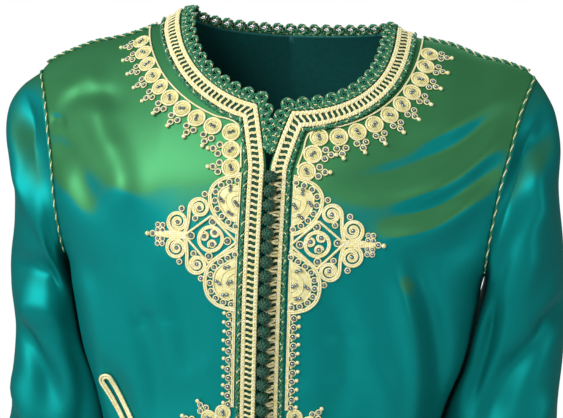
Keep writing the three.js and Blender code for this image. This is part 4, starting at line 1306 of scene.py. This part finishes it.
def layPicots(word, cordTop, top, bottom):
    side = sides[word]
    parts = []
    for x in picotBorder["cords"][word]:
        line = np.array([(x, cordTop), (x, bottom)], float)
        parts.append(cordOn(side, evenly(line, 4), 0.75))
    count = round((top - bottom) / picotBorder["pitch"])
    z = np.linspace(top - 3, bottom + 2, count)
    x = picotBorder["bead"][word] + 0.35 * np.sin(2.4 * np.arange(count))
    ground = groundOn(side, np.stack([x, z], -1), (1, 0))
    parts += ringedBeads(ground, bead=1.9, ring=2.6, thick=0.55)
    # on the wearer's left the ground's along way runs down, so the rise changes sign with the side
    ball = spotOn(ground, picotBorder["rise"] * -side["sign"], picotBorder["ball"], 1.3)
    parts.append(beadsOn(ground, ball, 1.75, slot=goldSlot))
    between = spotOn(ground, picotBorder["pitch"] / 2, -1.1, 0.9)
    parts.append(beadsOn(ground, between, 1.0, slot=goldSlot, corners=6, rings=4))
    return parts


for word in ("right", "left"):
    for run, reach in picotBorder["runs"].items():
        name = "beaded_picots_" + run + word
        makePiece(name, layPicots(word, *reach), trimLooks, ["picot_" + run + word])


# needle-lace rosettes standing beyond the neck edge
lace = {
    "ring": 4.4,
    "cord": 1.35,
    "pitch": 12.4,
    "clear": 1.2,
    "downSlit": 42,
    "points": 30,
    "petal": 2.0,
    "chain": 1.9,
    "chainAt": 1.1,
    "chainPitch": 6.5,
    "chainStep": 1.6,
}


def layLace(word):
    rail = rails[word]
    length = runLength(layOn(rail["face"], rail["x"], rail["z"])[0])
    total = length[-1] if word == "back" else length[slitCorner] + lace["downSlit"]
    count = round(total / lace["pitch"])
    x, z, wayX, wayZ = readRail(rail, length, (np.arange(count) + 0.5) * total / count)
    ground = groundAt(rail["face"], x, z, -wayX, -wayZ)
    middle = lace["clear"] + lace["cord"] + lace["ring"]
    room = np.ones(count)
    if word != "back":
        # where the slit narrows, rosettes move back towards the cloth
        room = np.minimum(1.0, (np.abs(x) + 3.0) / (middle + lace["ring"] * 0.6))
    shift = ground["outward"][:, None] * (middle * room)[:, None, None]
    t = np.linspace(0, 2 * np.pi, lace["points"], endpoint=False)
    parts = []
    for ply, (slot, size) in enumerate(((cordSlot, 1.05), (cordSlot, 1.05), (goldSlot, 0.45))):
        wind = 4 * t + 2 * np.pi * ply / 3
        r = lace["ring"] + 0.85 * np.cos(wind)
        ring = spotOn(ground, r * np.cos(t), r * np.sin(t), 0.2 + 0.95 * np.sin(wind)) + shift
        parts.append(tubeOn(ground, ring, size, 5, closed=True, slot=slot))
    # petals of finer cord over each ring, and small knots where it meets its neighbours
    r = lace["petal"] * (1 + 0.3 * np.cos(3 * t))
    petal = spotOn(ground, r * np.cos(t), r * np.sin(t), 1.1) + shift
    parts.append(tubeOn(ground, petal, 0.5, 4, closed=True, slot=cordSlot))
    for reach, size in ((2.6, 1.7), (5.2, 1.3)):
        knots = spotOn(ground, np.array([-0.5, 0.5]) * lace["pitch"], 0, 0.6)
        knots = knots + ground["outward"][:, None] * reach
        parts.append(beadsOn(ground, knots, size, slot=cordSlot, corners=6, rings=5))
    # the chain that it is sewn on by
    fine = np.linspace(0, total, int(total / lace["chainStep"]))
    x, z, wayX, wayZ = readRail(rail, length, fine)
    chain = groundAt(rail["face"], x, z, -wayX, -wayZ)
    line = chain["at"] + chain["outward"] * lace["chainAt"] + chain["out"] * 0.3
    slots = (cordSlot, cordSlot, goldSlot)
    return parts + twistedCord(line, chain["out"], lace["chain"], lace["chainPitch"], slots, fine=0.45)


layPieces("rosette_lace_", layLace, "lace_", edges)


# cords over the armhole and shoulder seams
seamCord = {
    "inset": 2.6,
    "radius": 1.15,
    "pitch": 12.0,
    "last": 0.955,  # how far down the armhole it ends
    "points": 90,
    "topPoints": 3.0,
    "shoulderFrom": 25,
    "shoulderEnd": 220,
    "shoulderRadius": 1.75,
    "shoulderPitch": 8.5,
    "slots": (cordSlot, cordSlot, goldSlot),
}


def layArmholeCord(side):
    share = np.linspace(0, seamCord["last"] ** 0.5, seamCord["points"]) ** 2
    x = side["sign"] * (armholeX(share) - seamCord["inset"])
    z = np.minimum(mix(-side["drop"], form["underarm"], share), shoulderLine(x))
    front, frontOut = layOn("front", x[::-1], z[::-1])
    back, backOut = layOn("back", x[1:], z[1:])
    line, outs = np.concatenate([front, back]), np.concatenate([frontOut, backOut])
    # over the shoulder seam it lies on both panels, so there it faces up
    fromTop = (np.arange(len(line)) - (seamCord["points"] - 1)) / seamCord["topPoints"]
    near = np.exp(-(fromTop**2))[:, None]
    outs = unit(mix(outs, np.array([0.25 * side["sign"], 0, 1.0]), near))
    line = line + outs * (0.5 + seamCord["radius"])
    return twistedCord(line, outs, seamCord["radius"], seamCord["pitch"], seamCord["slots"], fine=0.8)


def layShoulderCord(side):
    start = side["neckHalf"] + seamCord["shoulderFrom"]
    x = np.linspace(start, seamCord["shoulderEnd"], 100) * side["sign"]
    radius = seamCord["shoulderRadius"]
    line, outs = layOn("back", x, shoulderLine(x) - 0.6, 0.6 + radius)
    return twistedCord(line, outs, radius, seamCord["shoulderPitch"], seamCord["slots"], fine=0.6)


for word, side in sides.items():
    for name, lay in (("armhole", layArmholeCord), ("shoulder", layShoulderCord)):
        node = name + "_cord_" + word
        makePiece(name + "_seam_cord_" + word, lay(side), trimLooks, [node])


# knotted silk buttons, touching each other, and the gold cord loops that hold them
button = {
    "radius": 5.9,
    "cord": 0.95,
    "strandApart": 1.02,
    "pitch": 11.7,
    "first": -143,
    "x": 3.7,
    "count": 28,
    "lift": 7.6,
    "loopFrom": 12,
    "loopTo": 6.2,
    "loopCord": 1.0,
}


def layButton(ground):
    core = button["radius"] - button["cord"]
    middle = ground["at"] + ground["out"] * button["lift"]
    parts = [beads(middle, ground["out"], core, slot=silkSlot, corners=12, rings=8, tall=1.0)]
    turn = np.linspace(0, 2 * np.pi, 22, endpoint=False)
    for k in range(3):
        way = math.radians(20 + 60 * k)
        axis = math.cos(way) * ground["along"] + math.sin(way) * ground["outward"]
        across = math.cos(way) * ground["outward"] - math.sin(way) * ground["along"]
        weave = 1 + 0.05 * np.sin(3 * turn + 2.1 * k)
        around = np.cos(turn)[:, None] * axis + np.sin(turn)[:, None] * ground["out"]
        for shift in (-button["strandApart"], button["strandApart"]):
            r = math.sqrt(core**2 - shift**2) * weave[:, None]
            ring = middle + r * around + shift * across
            parts.append(tubePart(ring, ring - middle, button["cord"], 5, closed=True, slot=silkSlot))
    return parts


def layLoops():
    # each loop is a doubled cord that comes out from under the braid and turns back beside its button
    parts = []
    for i in range(button["count"] - 1):
        z = button["first"] - (i + 0.5) * button["pitch"] + 0.9 * math.sin(2.7 * i)
        tip = button["loopTo"] + 1.3 * math.sin(1.9 * i + 0.6)
        root, bend = button["loopFrom"], tip + 2.4
        line = [(root, z + 1.6), (bend, z + 1.1), (tip, z), (bend, z - 1.1), (root, z - 1.6)]
        curve = smoothLine(line, step=0.9)
        rise = mix(6.4, 2.6, smooth(curve[:, 0], button["loopTo"] + 2, root))
        centres, outs = layOn("front", curve[:, 0], curve[:, 1], rise)
        parts.append(tubePart(centres, outs, button["loopCord"], 6, slot=goldSlot))
    return parts


for i in range(button["count"]):
    z = button["first"] - i * button["pitch"]
    place = groundAt("front", np.array(button["x"]), np.array(z), np.array(1.0), np.array(0.0))
    number = "%02d" % (i + 1)
    parts = layButton(place)
    makePiece("silk_knot_button_" + number, parts, trimLooks, ["button_" + number])
makePiece("button_loops", layLoops(), trimLooks)


# the cord loop that a belt runs through
beltLoop = {"x": -141, "z": -334, "length": 88, "lean": 31, "radius": 4.6, "cord": 1.25, "points": 60}


def layBeltLoop():
    lean = math.radians(beltLoop["lean"])
    t = np.linspace(0, np.pi, 25)
    leg = np.linspace(beltLoop["length"], 0, beltLoop["points"])[:-1]
    beside = np.full(len(leg), beltLoop["radius"])
    down = np.concatenate([leg, -beltLoop["radius"] * np.sin(t), leg[::-1]])
    across = np.concatenate([-beside, -beltLoop["radius"] * np.cos(t), beside])
    x = down * math.sin(lean) + across * math.cos(lean)
    z = -down * math.cos(lean) + across * math.sin(lean)
    line = np.stack([x, z], -1) + np.array([beltLoop["x"], beltLoop["z"]])
    parts = []
    for way in (-1, 1):
        shifted = offsetLine(line, way * beltLoop["cord"])
        centres, outs = layOn("front", shifted[:, 0], shifted[:, 1], 0.6 + beltLoop["cord"])
        parts.append(tubePart(centres, outs, beltLoop["cord"], 8, slot=goldSlot))
    return parts


makePiece("belt_loop_cord", layBeltLoop(), trimLooks, ["belt_loop"])


# hem and cuffs
hemStitch = {
    "up": 22,
    "long": 2.6,
    "pitch": 4.4,
    "radius": 0.32,
    "lift": 0.15,
    "from": 26,
    "sideClear": 3,
    "points": 400,
    "cuffPoints": 500,
}


def dashes(line, outs):
    run = runLength(line)
    way = unit(np.gradient(line, axis=0))
    pitch = hemStitch["pitch"]
    parts = []
    for spot in np.arange(pitch, run[-1] - pitch, pitch):
        near = int(np.searchsorted(run, spot))
        half = way[near] * hemStitch["long"] / 2
        ends = np.stack([line[near] - half, line[near], line[near] + half])
        parts.append(tubePart(ends, np.repeat(outs[near][None], 3, 0), hemStitch["radius"], corners=4))
    return parts


for face in ("front", "back"):
    for word, side in sides.items():
        end = float(halfWidth(form["hem"])) - hemStitch["sideClear"]
        x = side["sign"] * np.linspace(hemStitch["from"], end, hemStitch["points"])
        z = np.full(len(x), form["hem"] + hemStitch["up"])
        line, outs = layOn(face, x, z, hemStitch["lift"])
        makePiece("hem_stitches_" + face + "_" + word, dashes(line, outs), (greenSilk,))
# round the cuffs they lie on the edge itself
for word, side in sides.items():
    turn = np.linspace(0, 2 * np.pi, hemStitch["cuffPoints"])
    line = sleevePoints(side, turn, np.array([float(cuffRow)]))[0]
    outs = line - line.mean(axis=0)
    outs[:, 2] = 0
    outs = unit(outs)
    makePiece("cuff_stitches_" + word, dashes(line + outs * hemStitch["lift"], outs), (greenSilk,))


# camera, light and floor
view = {
    "azimuth": 5.5,
    "elevation": 5.0,
    "roll": 2.4,
    "distance": 1.4,
    "target": (0.0023, 0.0, -0.179),
    "lens": 97.3,
    "sensor": 36,
}
lights = {
    "key softbox": {"place": (-1.15, -1.75, 0.95), "aim": (0, 0, -0.25), "size": (1.5, 1.1), "power": 51},
    "left softbox": {"place": (-2.0, -0.9, 0.1), "aim": (0, 0, -0.3), "size": (0.7, 1.6), "power": 4},
    "right softbox": {"place": (2.0, -1.0, 0.1), "aim": (0, 0, -0.3), "size": (0.7, 1.6), "power": 7},
    "back softbox": {"place": (0.3, 1.8, 1.2), "aim": (0, 0, -0.2), "size": (1.4, 1.0), "power": 14},
}
floorLook = {"dark": "#dedfdf", "pale": "#e8e9e9", "grain": 33.33, "depth": 0.3, "Roughness": 0.9}


def addCamera():
    camera = bpy.data.objects.new("camera", bpy.data.cameras.new("camera"))
    bpy.context.collection.objects.link(camera)
    a, e, r = (math.radians(view[key]) for key in ("azimuth", "elevation", "roll"))
    back = np.array([math.sin(a) * math.cos(e), -math.cos(a) * math.cos(e), math.sin(e)])
    right = np.array([math.cos(a), math.sin(a), 0])
    up = np.cross(back, right)
    across = right * math.cos(r) + up * math.sin(r)
    upright = up * math.cos(r) - right * math.sin(r)
    place = np.array(view["target"]) + back * view["distance"]
    turned = np.eye(4)
    turned[:3, :3] = np.stack([across, upright, back], axis=1)
    turned[:3, 3] = place
    camera.matrix_world = Matrix(turned.tolist())
    camera.data.lens = view["lens"]
    camera.data.sensor_width = view["sensor"]
    bpy.context.scene.camera = camera


def addLight(name, place, aim, size, power):
    lamp = bpy.data.lights.new(name, "AREA")
    lamp.shape = "RECTANGLE"
    lamp.size, lamp.size_y = size
    lamp.energy = power
    holder = bpy.data.objects.new(name, lamp)
    bpy.context.collection.objects.link(holder)
    holder.location = place
    holder.rotation_euler = (Vector(aim) - Vector(place)).to_track_quat("-Z", "Y").to_euler()


addCamera()
for name, lamp in lights.items():
    addLight(name, **lamp)
print("camera and", len(lights), "lights")

reach, low = 1.5, form["hem"] * mm - 0.001
corners = [(-reach, -reach, low), (reach, -reach, low), (reach, reach, low), (-reach, reach, low)]
floorMesh = bpy.data.meshes.new("floor")
floorMesh.from_pydata(corners, [], [(0, 1, 2, 3)])
floorMesh.materials.append(mottled("studio floor, matt pale grey", **floorLook))
floor = bpy.data.objects.new("floor", floorMesh)
bpy.context.collection.objects.link(floor)

world = bpy.data.worlds.new("studio")
bpy.context.scene.world = world
world.use_nodes = True
sky = world.node_tree
sky.nodes.clear()
# the surround lights the cloth softly, and the camera sees it plain white
ray = addNode(sky, "ShaderNodeLightPath")
soft = addNode(sky, "ShaderNodeBackground", {"Color": (1, 1, 1, 1), "Strength": 0.27})
plain = addNode(sky, "ShaderNodeBackground", {"Color": (1, 1, 1, 1), "Strength": 1.0})
shown = {0: ray.outputs["Is Camera Ray"], 1: soft.outputs[0], 2: plain.outputs[0]}
both = addNode(sky, "ShaderNodeMixShader", shown)
addNode(sky, "ShaderNodeOutputWorld", {"Surface": both.outputs[0]})
bpy.context.scene.view_settings.view_transform = "Standard"
